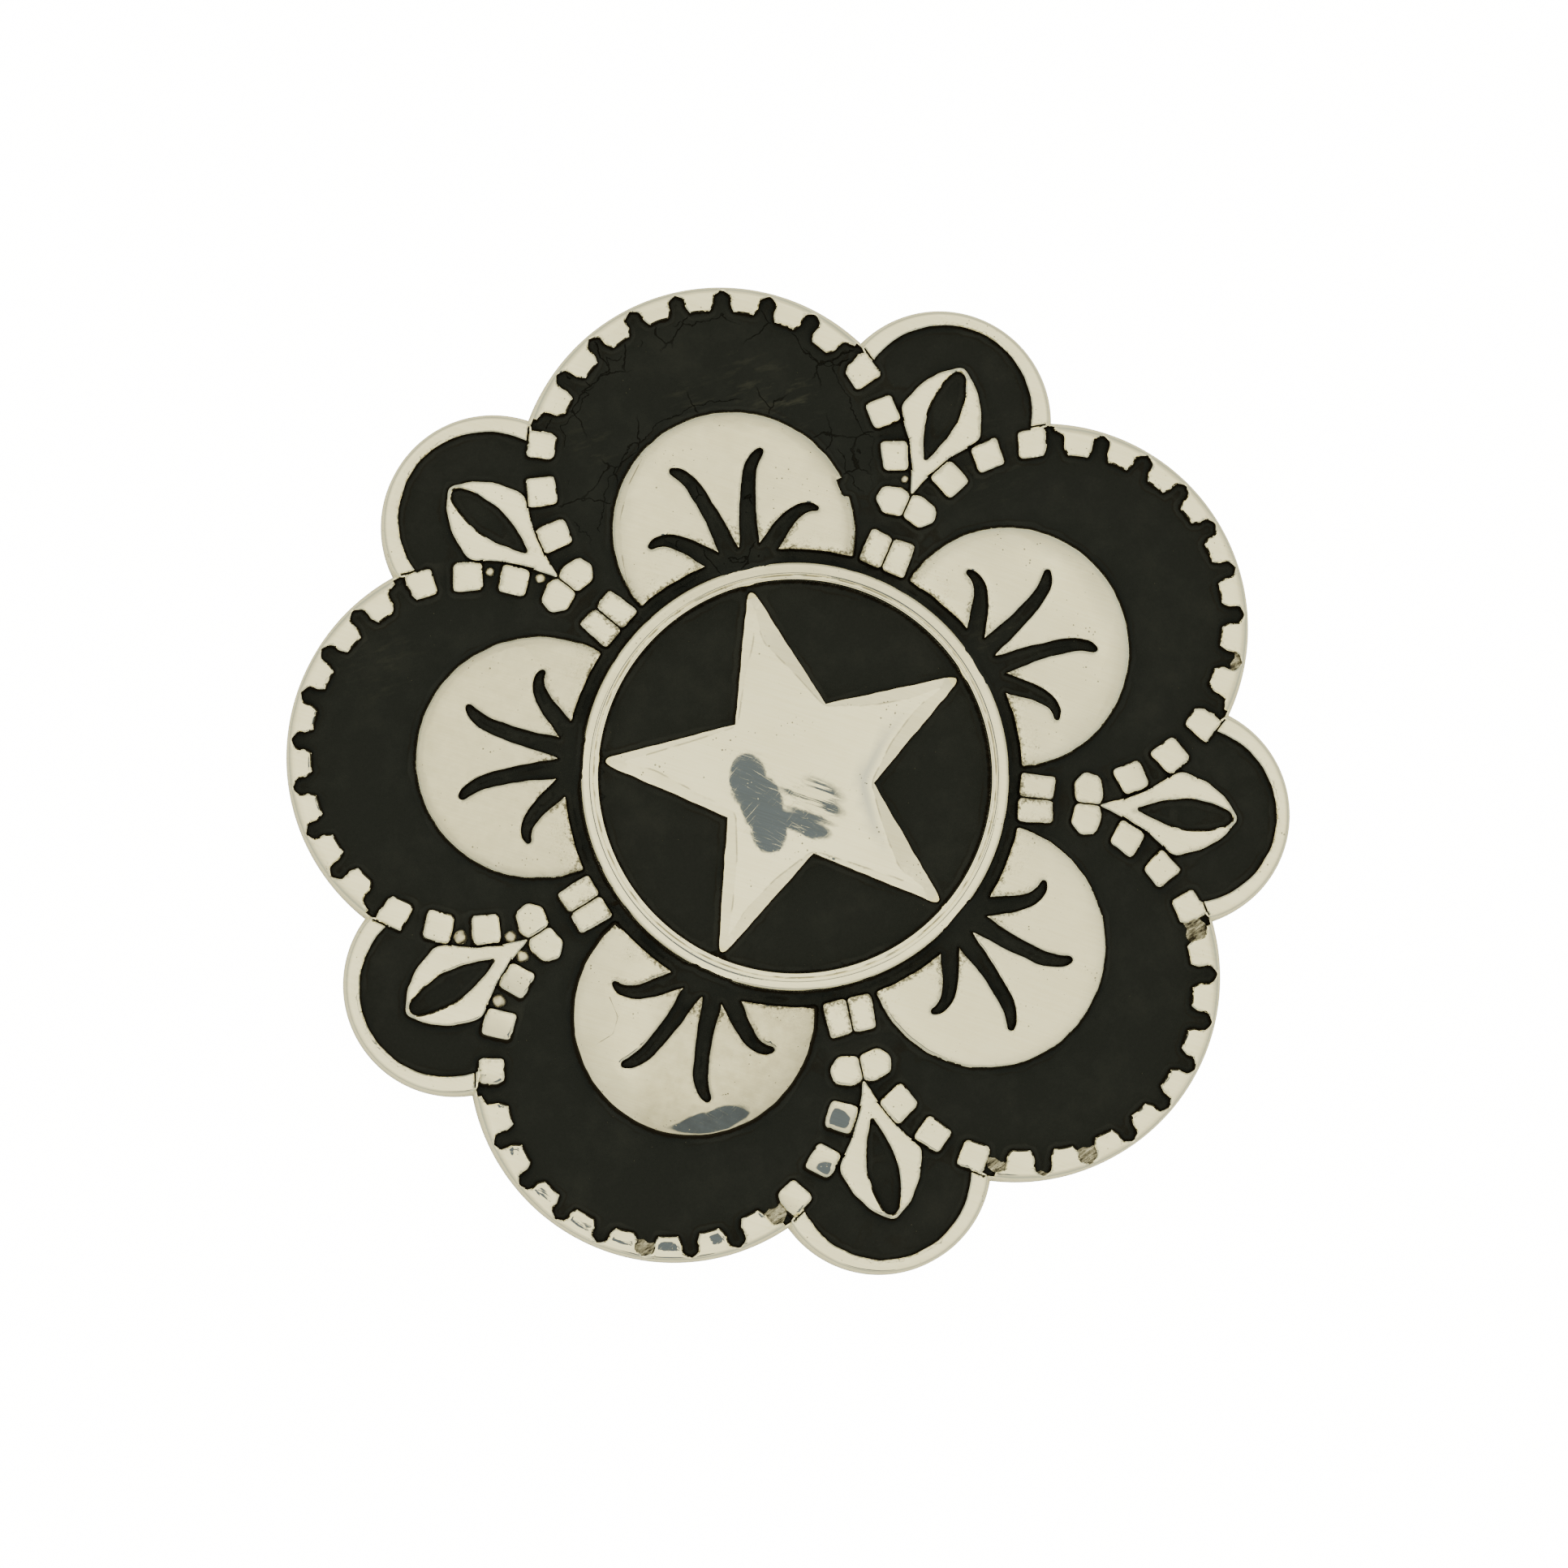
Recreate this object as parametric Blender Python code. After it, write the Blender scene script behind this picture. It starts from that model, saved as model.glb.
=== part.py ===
"""Cast concho: a domed, scalloped ornament with raised petals, leaves, a ring and a star.

The sizes are in millimetres and the mesh is built in metres. +Z points out of the decorated face,
one petal points along +Y, and the flat rim of the hollow back lies on z = 0. Angles run clockwise
from +Y, seen from +Z. The decoration is drawn flat as closed loops, cut into triangles, raised by
extrusion and then laid over the dome.
"""
import math

import bmesh
import bpy
from mathutils.geometry import delaunay_2d_cdt

MM = 0.001
FOLD = 5
SECTOR = 360.0 / FOLD

# outline: a petal and a lobe in every sector
PETAL_CENTRE, PETAL_RADIUS = 11.30, 7.75
LOBE_CENTRE, LOBE_RADIUS = 14.79, 4.23
OUTLINE_STEP = 0.60
EDGE_MARGIN = 0.14
ROLL_ROW = 0.50

# dome: a bell from the edge to the ring, and a nearly flat floor inside the ring
BELL_EDGE_Z, BELL_RISE, BELL_SPAN = 0.75, 4.30, 20.0
FLOOR_Z, FLOOR_CROWN = 4.00, 0.10
SIDE_Z = 0.90
ROLL_WIDTH = 0.60
RELIEF = 0.48

# tooth ring of a petal
TOOTH_CENTRE, TOOTH_INNER, TOOTH_OUTER = 12.0, 6.15, 7.25
TOOTH_PITCH = 15.1
TOOTH_STEP = 1.0
SLOT_OVERRUN = 0.1  # a slot starts this far inside the teeth, so that it cuts them through
RIM_SLOTS = 4
SLOT_WIDTH, SLOT_TIP = 0.70, 0.34
END_SLOT_WIDTH = 0.78
BLOCK_WIDTH, BLOCK_CORNER = 1.05, 0.24
FREE_BLOCKS = 5

# fan: a disc above the ring, cut by two pairs of curved strokes
FAN_CENTRE, FAN_RADIUS, FAN_LOW = 9.65, 4.58, 8.65
FAN_STEP, FAN_LOW_STEP = 0.75, 1.2
FAN_ROLL, FAN_ROLL_DROP = 0.60, 0.14
LONG_STROKE = [(0.10, 8.1), (0.45, 9.0), (0.60, 10.0), (0.85, 10.9), (1.10, 11.7), (1.45, 12.2), (1.78, 12.42)]
LONG_WIDTHS = [0.80, 0.76, 0.64, 0.58, 0.56, 0.46, 0.24]
SHORT_STROKE = [(0.40, 8.2), (0.80, 8.46), (1.40, 8.98), (1.95, 9.50), (2.50, 9.83), (3.00, 9.87), (3.28, 9.70)]
SHORT_WIDTHS = [0.80, 0.76, 0.70, 0.62, 0.52, 0.40, 0.20]
HUB = [(-1.80, 8.45), (0.0, 8.95), (1.80, 8.45), (1.60, 8.0), (-1.60, 8.0)]

# lobe: a raised rim and a leaf with a slot in it
LOBE_FIELD_CENTRE, LOBE_FIELD_RADIUS, LOBE_FIELD_END = 15.17, 3.33, 80.0
LOBE_RIM_END = 68.0
LOBE_STEP = 0.8
LEAF_SIDE = [(0.75, 16.50), (1.25, 15.80), (1.62, 14.75), (1.40, 14.35), (0.90, 13.70), (0.50, 13.00), (0.24, 12.30)]
LEAF_TIP, LEAF_FOOT = 17.05, 11.60
LEAF_SLOT_SIDE = [(0.28, 16.72), (0.52, 16.00), (0.62, 15.10), (0.50, 14.35), (0.24, 13.55)]
LEAF_SLOT_TIP, LEAF_SLOT_FOOT = 16.86, 13.05

# centre: a half-round ring and a star with sloping flanks
RING_OUTER, RING_INNER, RING_POINTS = 8.12, 7.43, 40
RING_EDGE_Z, RING_TOP_Z = 4.42, 4.76
STAR_TIP, STAR_VALLEY, STAR_FLANK = 7.03, 2.98, 0.60
STAR_WALL, STAR_TOP_Z = 0.30, 4.90
STAR_BEND, STAR_FALL = 0.13, 0.085

# back: a flat rim round a hollow, with a screw boss in the middle
BACK_RIM, BACK_STEP, WALL = 1.30, 0.25, 1.05
BOSS_RADIUS, BOSS_Z = 3.40, 0.30
SCREW_RADIUS, SCREW_TOP_Z = 1.75, 2.80
ROUND_POINTS = 24
HOLLOW_ROWS = [5.5, 8.5, 11.5, 14.0]

# finish: the colour, roughness and metalness of polished silver
SILVER = (0.83, 0.81, 0.73)
SILVER_ROUGHNESS, SILVER_METALNESS = 0.18, 1.0

# triangulation
GRID = 1.9
GRID_ROW = 0.87  # height of an even triangle with a side of 1
GRID_CLEARANCE = 0.75
NEAR = 1e-4
MERGE = 0.02


def polar(radius, degrees, centre=(0.0, 0.0)):
    """The point at a clockwise angle from +Y round a centre."""
    angle = math.radians(degrees)
    return centre[0] + radius * math.sin(angle), centre[1] + radius * math.cos(angle)


def bearing(point, centre=(0.0, 0.0)):
    """The clockwise angle from +Y at which a point is seen from a centre."""
    return math.degrees(math.atan2(point[0] - centre[0], point[1] - centre[1]))


def turned(points, degrees):
    """Points turned clockwise round the middle of the concho."""
    return [polar(math.hypot(x, y), bearing((x, y)) + degrees) for x, y in points]


def mirrored(points):
    """Points mirrored across the Y axis."""
    return [(-x, y) for x, y in points]


def arc(centre, radius, start, end, step):
    """Points from one angle to the other, both ends included, about a step apart."""
    count = max(2, round(radius * math.radians(abs(end - start)) / step))
    return [polar(radius, start + (end - start) * i / count, centre) for i in range(count + 1)]


def circle(radius, count):
    """Evenly spaced points on a circle round the middle of the concho."""
    return [polar(radius, 360.0 * i / count) for i in range(count)]


def crossing(centre_a, radius_a, centre_b, radius_b):
    """The crossing of two circles that lies farther from the middle of the concho."""
    gap = math.dist(centre_a, centre_b)
    along = (gap * gap + radius_a * radius_a - radius_b * radius_b) / (2.0 * gap)
    aside = math.sqrt(radius_a * radius_a - along * along)
    ux, uy = (centre_b[0] - centre_a[0]) / gap, (centre_b[1] - centre_a[1]) / gap
    foot = centre_a[0] + along * ux, centre_a[1] + along * uy
    pair = [(foot[0] - side * aside * uy, foot[1] + side * aside * ux) for side in (1, -1)]
    return max(pair, key=lambda p: math.hypot(*p))


def silhouette(inset=0.0, step=OUTLINE_STEP):
    """The scalloped outline, or the line that runs inset inside it, as one closed loop."""
    petal, lobe = (0.0, PETAL_CENTRE), polar(LOBE_CENTRE, SECTOR / 2)
    petal_radius, lobe_radius = PETAL_RADIUS - inset, LOBE_RADIUS - inset
    notch = crossing(petal, petal_radius, lobe, lobe_radius)
    petal_end, lobe_start = bearing(notch, petal), bearing(notch, lobe)
    petal_arc = arc(petal, petal_radius, -petal_end, petal_end, step)
    lobe_arc = arc(lobe, lobe_radius, lobe_start, SECTOR - lobe_start, step)
    sector = petal_arc + lobe_arc[1:-1]
    return [p for i in range(FOLD) for p in turned(sector, i * SECTOR)]


def edge_distance(x, y):
    """How far a point lies inside the scalloped outline."""
    radius, angle = math.hypot(x, y), bearing((x, y)) % SECTOR
    folded = min(angle, SECTOR - angle)
    point = polar(radius, folded)
    to_petal = PETAL_RADIUS - math.dist(point, (0.0, PETAL_CENTRE))
    to_lobe = LOBE_RADIUS - math.dist(point, polar(LOBE_CENTRE, SECTOR / 2))
    return max(to_petal, to_lobe)


def edge_reach(degrees, inset):
    """The distance from the middle of the tooth ring, at an angle, to the line inset inside the petal's edge."""
    offset = TOOTH_CENTRE - PETAL_CENTRE
    along = offset * math.cos(math.radians(degrees))
    return math.sqrt((PETAL_RADIUS - inset) ** 2 - offset ** 2 + along ** 2) - along


def rim_sector():
    """The toothed rim of a petal, before its slots are cut."""
    centre, end = (0.0, TOOTH_CENTRE), RIM_SLOTS * TOOTH_PITCH
    inner = arc(centre, TOOTH_INNER, -end, end, TOOTH_STEP)
    outer_end = bearing(polar(edge_reach(end, EDGE_MARGIN / 2), end, centre), (0.0, PETAL_CENTRE))
    outer = arc((0.0, PETAL_CENTRE), PETAL_RADIUS - EDGE_MARGIN / 2, outer_end, -outer_end, OUTLINE_STEP)
    return inner + outer


def rim_slot(degrees, width):
    """A slot between two rim teeth, pointed where it runs out on the rolled edge."""
    centre, tip = (0.0, TOOTH_CENTRE), edge_reach(degrees, EDGE_MARGIN)
    mouth, half, shoulder = TOOTH_INNER - SLOT_OVERRUN, width / 2, tip - SLOT_TIP
    profile = [(mouth, -half), (shoulder, -half), (tip, 0.0), (shoulder, half), (mouth, half)]
    return [along_ray(centre, degrees, distance, side) for distance, side in profile]


def along_ray(centre, degrees, distance, side):
    """The point at a distance along a ray from a centre and to the right of it."""
    x, y = polar(distance, degrees, centre)
    sx, sy = polar(side, degrees + 90.0)
    return x + sx, y + sy


def block(degrees):
    """One loose tooth of the ring: a square with its corners cut."""
    half, cut = BLOCK_WIDTH / 2, BLOCK_CORNER
    low, high = TOOTH_INNER, TOOTH_OUTER
    corners = [(low, cut - half), (low, half - cut), (low + cut, half), (high - cut, half),
               (high, half - cut), (high, cut - half), (high - cut, -half), (low + cut, -half)]
    return [along_ray((0.0, TOOTH_CENTRE), degrees, distance, side) for distance, side in corners]


def fan_disc():
    """A disc whose lower part is cut off along an arc round the middle."""
    corner = crossing((0.0, FAN_CENTRE), FAN_RADIUS, (0.0, 0.0), FAN_LOW)
    high_angle, low_angle = abs(bearing(corner, (0.0, FAN_CENTRE))), abs(bearing(corner))
    top = arc((0.0, FAN_CENTRE), FAN_RADIUS, -high_angle, high_angle, FAN_STEP)
    low = arc((0.0, 0.0), FAN_LOW, low_angle, -low_angle, FAN_LOW_STEP)
    return top + low[1:-1]


def stroke(line, widths):
    """The outline of a tapering stroke laid along a line."""
    right, left = [], []
    for i, (x, y) in enumerate(line):
        before, after = line[max(i - 1, 0)], line[min(i + 1, len(line) - 1)]
        length = math.dist(before, after)
        nx, ny = (after[1] - before[1]) / length, (before[0] - after[0]) / length
        right.append((x + nx * widths[i] / 2, y + ny * widths[i] / 2))
        left.append((x - nx * widths[i] / 2, y - ny * widths[i] / 2))
    return right + left[::-1]


def lobe_rim():
    """The raised crescent round a lobe."""
    inner = arc((0.0, LOBE_FIELD_CENTRE), LOBE_FIELD_RADIUS, -LOBE_FIELD_END, LOBE_FIELD_END, LOBE_STEP)
    outer = arc((0.0, LOBE_CENTRE), LOBE_RADIUS - EDGE_MARGIN / 2, LOBE_RIM_END, -LOBE_RIM_END, OUTLINE_STEP)
    return inner + outer


def pointed(tip, side, foot):
    """A closed shape that is alike on both sides of its axis."""
    return [(0.0, tip)] + side + [(0.0, foot)] + mirrored(side)[::-1]


def star(flank=0.0):
    """The star, or the line that runs flank inside it."""
    tip, valley = polar(STAR_TIP, 0.0), polar(STAR_VALLEY, SECTOR / 2)
    length = math.dist(tip, valley)
    sin_tip = valley[0] / length
    sin_valley = math.sin(math.asin(sin_tip) + math.radians(SECTOR / 2))
    tip_radius = STAR_TIP - flank / sin_tip
    valley_radius = STAR_VALLEY - flank / sin_valley
    return [polar(radius, i * SECTOR + shift) for i in range(FOLD)
            for radius, shift in ((tip_radius, 0.0), (valley_radius, SECTOR / 2))]


def star_distance(x, y):
    """How far a point lies inside the star."""
    radius, angle = math.hypot(x, y), bearing((x, y)) % SECTOR
    px, py = polar(radius, min(angle, SECTOR - angle))
    tip, valley = polar(STAR_TIP, 0.0), polar(STAR_VALLEY, SECTOR / 2)
    length = math.dist(tip, valley)
    return ((valley[0] - tip[0]) * (py - tip[1]) - (valley[1] - tip[1]) * (px - tip[0])) / -length


def bell(radius):
    """Height of the bell-shaped dome at a distance from the middle."""
    return BELL_EDGE_Z + BELL_RISE * (1.0 + math.cos(math.pi * radius / BELL_SPAN)) / 2.0


def ground_z(x, y):
    """Height of the recessed ground."""
    radius = math.hypot(x, y)
    if radius < (RING_INNER + RING_OUTER) / 2:
        return FLOOR_Z + FLOOR_CROWN * (1.0 - (radius / RING_INNER) ** 2)
    return bell(radius)


def rolled(top, distance):
    """A height that rolls down over the outer edge."""
    reach = min(distance / ROLL_WIDTH, 1.0)
    return SIDE_Z + (top - SIDE_Z) * math.sqrt(max(0.0, 1.0 - (1.0 - reach) ** 2))


def raised_z(x, y):
    """Height of the raised work: the star, the ring, and all that lies outside the ring."""
    radius = math.hypot(x, y)
    if radius < RING_INNER - NEAR:
        climb = min(max(star_distance(x, y) / STAR_FLANK, 0.0), 1.0)
        top = STAR_TOP_Z - (math.hypot(STAR_BEND, STAR_FALL * radius) - STAR_BEND)
        low = ground_z(x, y) + STAR_WALL
        return low + (top - low) * climb
    if radius < RING_OUTER + NEAR:
        middle, half = (RING_INNER + RING_OUTER) / 2, (RING_OUTER - RING_INNER) / 2
        across = min(abs(radius - middle) / half, 1.0)
        return RING_EDGE_Z + (RING_TOP_Z - RING_EDGE_Z) * math.sqrt(1.0 - across * across)
    return rolled(bell(radius) + RELIEF - fan_drop(x, y), edge_distance(x, y))


def fan_drop(x, y):
    """How much a fan falls away next to its round edge."""
    radius, angle = math.hypot(x, y), bearing((x, y)) % SECTOR
    point = polar(radius, min(angle, SECTOR - angle))
    inside = FAN_RADIUS - math.dist(point, (0.0, FAN_CENTRE))
    if inside < -NEAR or inside > FAN_ROLL:
        return 0.0
    return FAN_ROLL_DROP * (1.0 - inside / FAN_ROLL) ** 2


def hollow_z(x, y):
    """Height of the ceiling of the hollow back."""
    return max(BACK_STEP, ground_z(x, y) - WALL)


def grid_points(loops):
    """Points inside the outline that stay clear of every drawn line."""
    drawn = [p for loop in loops for p in loop]
    count = math.ceil((PETAL_CENTRE + PETAL_RADIUS) / GRID)
    points = []
    for row in range(-count, count + 1):
        for column in range(-count, count + 1):
            x, y = (column + 0.5 * (row % 2)) * GRID, row * GRID * GRID_ROW
            inside = math.hypot(x, y) < RING_INNER or edge_distance(x, y) > GRID_CLEARANCE
            if inside and all(math.dist((x, y), p) > GRID_CLEARANCE for p in drawn):
                points.append((x, y))
    return points


def drawing(loops, lines=(), points=()):
    """Triangles over closed loops, and for each triangle the indices of the loops it lies in."""
    coords, faces, edges = [], [], []
    for loop in loops:
        area = sum(a[0] * b[1] - b[0] * a[1] for a, b in zip(loop, loop[1:] + loop[:1]))
        ring = loop if area > 0 else loop[::-1]
        faces.append(list(range(len(coords), len(coords) + len(ring))))
        coords += ring
    for line in lines:
        start = len(coords)
        coords += line
        edges += [(i, i + 1) for i in range(start, len(coords) - 1)]
    coords += points
    flat, _, triangles, _, _, inside = delaunay_2d_cdt(coords, edges, faces, 0, MERGE)
    return flat, triangles, [set(owners) for owners in inside]


def decoration():
    """The closed loops of the face: the whole, what is raised, what is cut out of it, and the field in the ring."""
    whole = [silhouette(), silhouette(EDGE_MARGIN)]
    raised, cut = [], []
    free_blocks = [(RIM_SLOTS + 0.5 + i) * TOOTH_PITCH for i in range(FREE_BLOCKS)]
    petal_raised = [rim_sector(), fan_disc()]
    petal_raised += [block(side * degrees) for degrees in free_blocks for side in (1, -1)]
    petal_cut = [rim_slot(i * TOOTH_PITCH, SLOT_WIDTH) for i in range(1 - RIM_SLOTS, RIM_SLOTS)]
    petal_cut += [rim_slot(side * RIM_SLOTS * TOOTH_PITCH, END_SLOT_WIDTH) for side in (1, -1)]
    strokes = [stroke(LONG_STROKE, LONG_WIDTHS), stroke(SHORT_STROKE, SHORT_WIDTHS)]
    petal_cut += strokes + [mirrored(shape) for shape in strokes] + [HUB]
    lobe_raised = [lobe_rim(), pointed(LEAF_TIP, LEAF_SIDE, LEAF_FOOT)]
    lobe_cut = [pointed(LEAF_SLOT_TIP, LEAF_SLOT_SIDE, LEAF_SLOT_FOOT)]
    for i in range(FOLD):
        raised += [turned(shape, i * SECTOR) for shape in petal_raised]
        raised += [turned(shape, (i + 0.5) * SECTOR) for shape in lobe_raised]
        cut += [turned(shape, i * SECTOR) for shape in petal_cut]
        cut += [turned(shape, (i + 0.5) * SECTOR) for shape in lobe_cut]
    raised += [circle(RING_OUTER, RING_POINTS), star()]
    cut_inside_ring = circle(RING_INNER, RING_POINTS)
    return whole, raised, cut, cut_inside_ring


def front(bm):
    """The decorated face and the side of the casting."""
    whole, raised, cut, ring_field = decoration()
    loops = whole + raised + cut + [ring_field]
    inner_star, outer_star = star(STAR_FLANK), star()
    lines = [[a, b] for a, b in zip(inner_star, outer_star)]
    lines += [inner_star + inner_star[:1]]
    middle = circle((RING_INNER + RING_OUTER) / 2, RING_POINTS)
    lines += [middle + middle[:1]]
    roll_row = silhouette(ROLL_ROW, 2 * OUTLINE_STEP)
    lines += [roll_row + roll_row[:1]]
    points = grid_points(loops + lines)
    flat, triangles, inside = drawing(loops, lines, points)
    first_raised = len(whole)
    first_cut = first_raised + len(raised)
    field_index = len(loops) - 1
    star_index = first_cut - 1

    def is_raised(owners):
        """Whether a triangle in these loops belongs to the raised work; the strip along the edge always does."""
        if 1 not in owners:
            return True
        if field_index in owners:
            return star_index in owners
        if any(first_cut <= i < field_index for i in owners):
            return False
        return any(first_raised <= i < first_cut for i in owners)

    verts = []
    for x, y in flat:
        on_edge = edge_distance(x, y) < NEAR and math.hypot(x, y) > RING_OUTER
        verts.append(bm.verts.new((x, y, 0.0 if on_edge else ground_z(x, y))))
    high_faces = []
    for triangle, owners in zip(triangles, inside):
        if 0 not in owners:
            continue
        face = bm.faces.new([verts[i] for i in triangle])
        if is_raised(owners):
            high_faces.append(face)
    lift(bm, high_faces, raised_z)


def lift(bm, faces, height):
    """Extrudes faces to the height that a function gives, and returns the lifted faces."""
    extruded = bmesh.ops.extrude_face_region(bm, geom=faces)["geom"]
    for vert in (item for item in extruded if isinstance(item, bmesh.types.BMVert)):
        vert.co.z = height(vert.co.x, vert.co.y)
    bmesh.ops.delete(bm, geom=faces, context="FACES")
    return [item for item in extruded if isinstance(item, bmesh.types.BMFace)]


def back(bm):
    """The flat rim, the hollow, and the boss with its blind screw hole, seen from below."""
    loops = [silhouette(), silhouette(BACK_RIM, 2 * OUTLINE_STEP), circle(BOSS_RADIUS, ROUND_POINTS),
             circle(SCREW_RADIUS, ROUND_POINTS)]
    points = [p for radius in HOLLOW_ROWS for p in circle(radius, ROUND_POINTS)]
    flat, triangles, inside = drawing(loops, points=points)
    verts = [bm.verts.new((x, y, 0.0)) for x, y in flat]
    hollow = []
    for triangle, owners in zip(triangles, inside):
        if 0 not in owners:
            continue
        face = bm.faces.new([verts[i] for i in reversed(triangle)])
        if 1 in owners:
            hollow.append(face)

    def within(faces, radius):
        """The faces whose middles lie within a radius."""
        return [f for f in faces if math.hypot(*f.calc_center_median().xy) < radius]

    ceiling = lift(bm, hollow, hollow_z)
    boss = lift(bm, within(ceiling, BOSS_RADIUS), lambda x, y: BOSS_Z)
    lift(bm, within(boss, SCREW_RADIUS), lambda x, y: SCREW_TOP_Z)


def finish(colour, roughness, metallic):
    """A plain material for the whole casting."""
    material = bpy.data.materials.new("polished_casting")
    material.use_nodes = True
    shader = material.node_tree.nodes["Principled BSDF"]
    shader.inputs["Base Color"].default_value = (*colour, 1.0)
    shader.inputs["Roughness"].default_value = roughness
    shader.inputs["Metallic"].default_value = metallic
    return material


def build():
    """Builds the concho as one closed mesh."""
    for leftover in list(bpy.data.objects):
        bpy.data.objects.remove(leftover)
    bm = bmesh.new()
    front(bm)
    back(bm)
    bmesh.ops.remove_doubles(bm, verts=bm.verts, dist=NEAR)
    bmesh.ops.delete(bm, geom=[v for v in bm.verts if not v.link_faces], context="VERTS")
    bmesh.ops.scale(bm, vec=(MM, MM, MM), verts=bm.verts)
    mesh = bpy.data.meshes.new("concho")
    bm.to_mesh(mesh)
    bm.free()
    mesh.materials.append(finish(SILVER, SILVER_ROUGHNESS, SILVER_METALNESS))
    concho = bpy.data.objects.new("concho", mesh)
    bpy.context.collection.objects.link(concho)


build()
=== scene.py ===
import math
import random
import bpy
from mathutils import Matrix, Vector, kdtree, noise
from mathutils.geometry import delaunay_2d_cdt


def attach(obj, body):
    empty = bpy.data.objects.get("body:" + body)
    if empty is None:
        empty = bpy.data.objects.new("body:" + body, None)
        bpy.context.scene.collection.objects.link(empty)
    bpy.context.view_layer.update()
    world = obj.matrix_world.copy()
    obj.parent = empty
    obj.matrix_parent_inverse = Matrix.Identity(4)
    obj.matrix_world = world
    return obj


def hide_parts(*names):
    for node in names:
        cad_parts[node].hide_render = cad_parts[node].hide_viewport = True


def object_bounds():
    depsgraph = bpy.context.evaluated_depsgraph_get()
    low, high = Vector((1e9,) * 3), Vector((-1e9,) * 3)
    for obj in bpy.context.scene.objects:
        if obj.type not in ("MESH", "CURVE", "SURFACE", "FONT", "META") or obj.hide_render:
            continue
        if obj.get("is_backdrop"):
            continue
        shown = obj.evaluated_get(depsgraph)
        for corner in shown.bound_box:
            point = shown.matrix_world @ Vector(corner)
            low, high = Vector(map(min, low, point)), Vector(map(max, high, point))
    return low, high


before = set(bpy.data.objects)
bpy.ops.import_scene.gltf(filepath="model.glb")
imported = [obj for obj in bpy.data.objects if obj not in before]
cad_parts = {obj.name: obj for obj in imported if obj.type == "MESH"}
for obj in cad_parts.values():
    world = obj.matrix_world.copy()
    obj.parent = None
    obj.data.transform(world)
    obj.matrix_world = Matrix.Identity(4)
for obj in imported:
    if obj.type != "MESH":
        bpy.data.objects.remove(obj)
cadLow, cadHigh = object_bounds()
random.seed(11)
noise.seed_set(11)

# The face is drawn flat in millimetres, clockwise from +Y, and then laid over the dome.
outline = {
    "fold": 5,
    "petalCentre": 11.30,
    "petalRadius": 7.75,
    "lobeCentre": 14.79,
    "lobeRadius": 4.23,
    "step": 0.16,
    "arcStep": 0.2,
    "margin": 0.13,  # a slot stops this far inside the outline
    "rollWidth": (0.28, 0.46),  # how far in the outer edge starts to roll over, on lobes and on petals
    "rollBlend": 0.5,
    "rollSquareness": 2.6,
    "sideHeight": 0.95,  # where the roll meets the upright side
    "footHeight": 0.08,  # a small round where the side meets the back
    "footInset": 0.06,
}
millimetre = cadHigh.y / (outline["petalCentre"] + outline["petalRadius"])
sector = 360.0 / outline["fold"]

dome = {
    "edgeHeight": 0.75,
    "rise": 4.30,
    "span": 20.0,
    "floorHeight": 4.00,  # the flat floor inside the ring
    "floorCrown": 0.10,
    "relief": 0.48,
    "ripples": [(0.010, 1.6, 3.0), (0.004, 0.6, 8.0)],  # height, size and seed of each layer
    "fillDepth": 0.14,  # the bare ground lies this far under the black
}

teeth = {
    "centre": 12.0,
    "inner": 6.15,
    "outer": 7.25,
    "pitch": 15.1,
    "rimSlots": 4,
    "slotWidth": 0.68,
    "endSlotWidth": 0.78,
    "endMargin": 0.27,
    # share of the half width along a slot, from its mouth and up to its round end
    "slotMouth": [(-0.14, 0.80), (0.04, 0.60), (0.28, 0.46)],
    "slotEnd": [(-0.42, 0.50), (-0.20, 0.47), (-0.07, 0.20), (0.0, 0.0)],
    "blockWidth": 1.08,
    "blockCorner": 0.22,
    "freeBlocks": 3,
    "creaseGap": 0.04,
    # how much one tooth may differ from the next
    "slotWidths": (0.94, 1.06),
    "blockWidths": (0.95, 1.04),
    "innerShifts": (-0.04, 0.03),
    "outerShifts": (-0.04, 0.02),
    "blockLean": 0.05,
    "blockJitter": 0.05,
    # petal, slot and how far along it the black stops and the rough casting shows
    "bareSlots": [(1, 3, 0.50), (2, 2, 0.10), (2, 3, 0.72), (2, 4, 0.30), (2, 0, 0.84), (2, -4, 0.0),
                  (3, -1, 0.12), (3, -4, 0.15)],
    "bareRise": 0.22,
    "bareRipples": [(0.07, 0.22, 1.0)],
}

fan = {
    "centre": 9.65,
    "radius": 4.58,
    "low": 8.65,
    "arcStep": 0.3,
    "corner": 0.12,
    # width and drop of the rolled edge, petal by petal
    "rolls": [(0.62, 0.13), (0.70, 0.14), (0.75, 0.06), (2.00, 0.27), (0.62, 0.12)],
    # strokes: place and width from foot to end
    "longStroke": [(0.10, 8.1, 0.80), (0.45, 9.0, 0.76), (0.60, 10.0, 0.64), (0.85, 10.9, 0.58),
                   (1.10, 11.7, 0.56), (1.45, 12.2, 0.46), (1.80, 12.45, 0.26)],
    "shortStroke": [(0.40, 8.2, 0.80), (0.80, 8.46, 0.76), (1.40, 8.98, 0.70), (1.95, 9.50, 0.62),
                    (2.50, 9.83, 0.52), (3.00, 9.87, 0.40), (3.30, 9.70, 0.22)],
    "nicks": [(0, [(4.22, 10.62), (4.30, 10.10), (4.42, 9.95), (4.85, 9.85), (4.80, 10.75)])],
    "hub": [(-1.80, 8.45), (0.0, 8.95), (1.80, 8.45), (1.60, 8.0), (-1.60, 8.0)],
}

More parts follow.
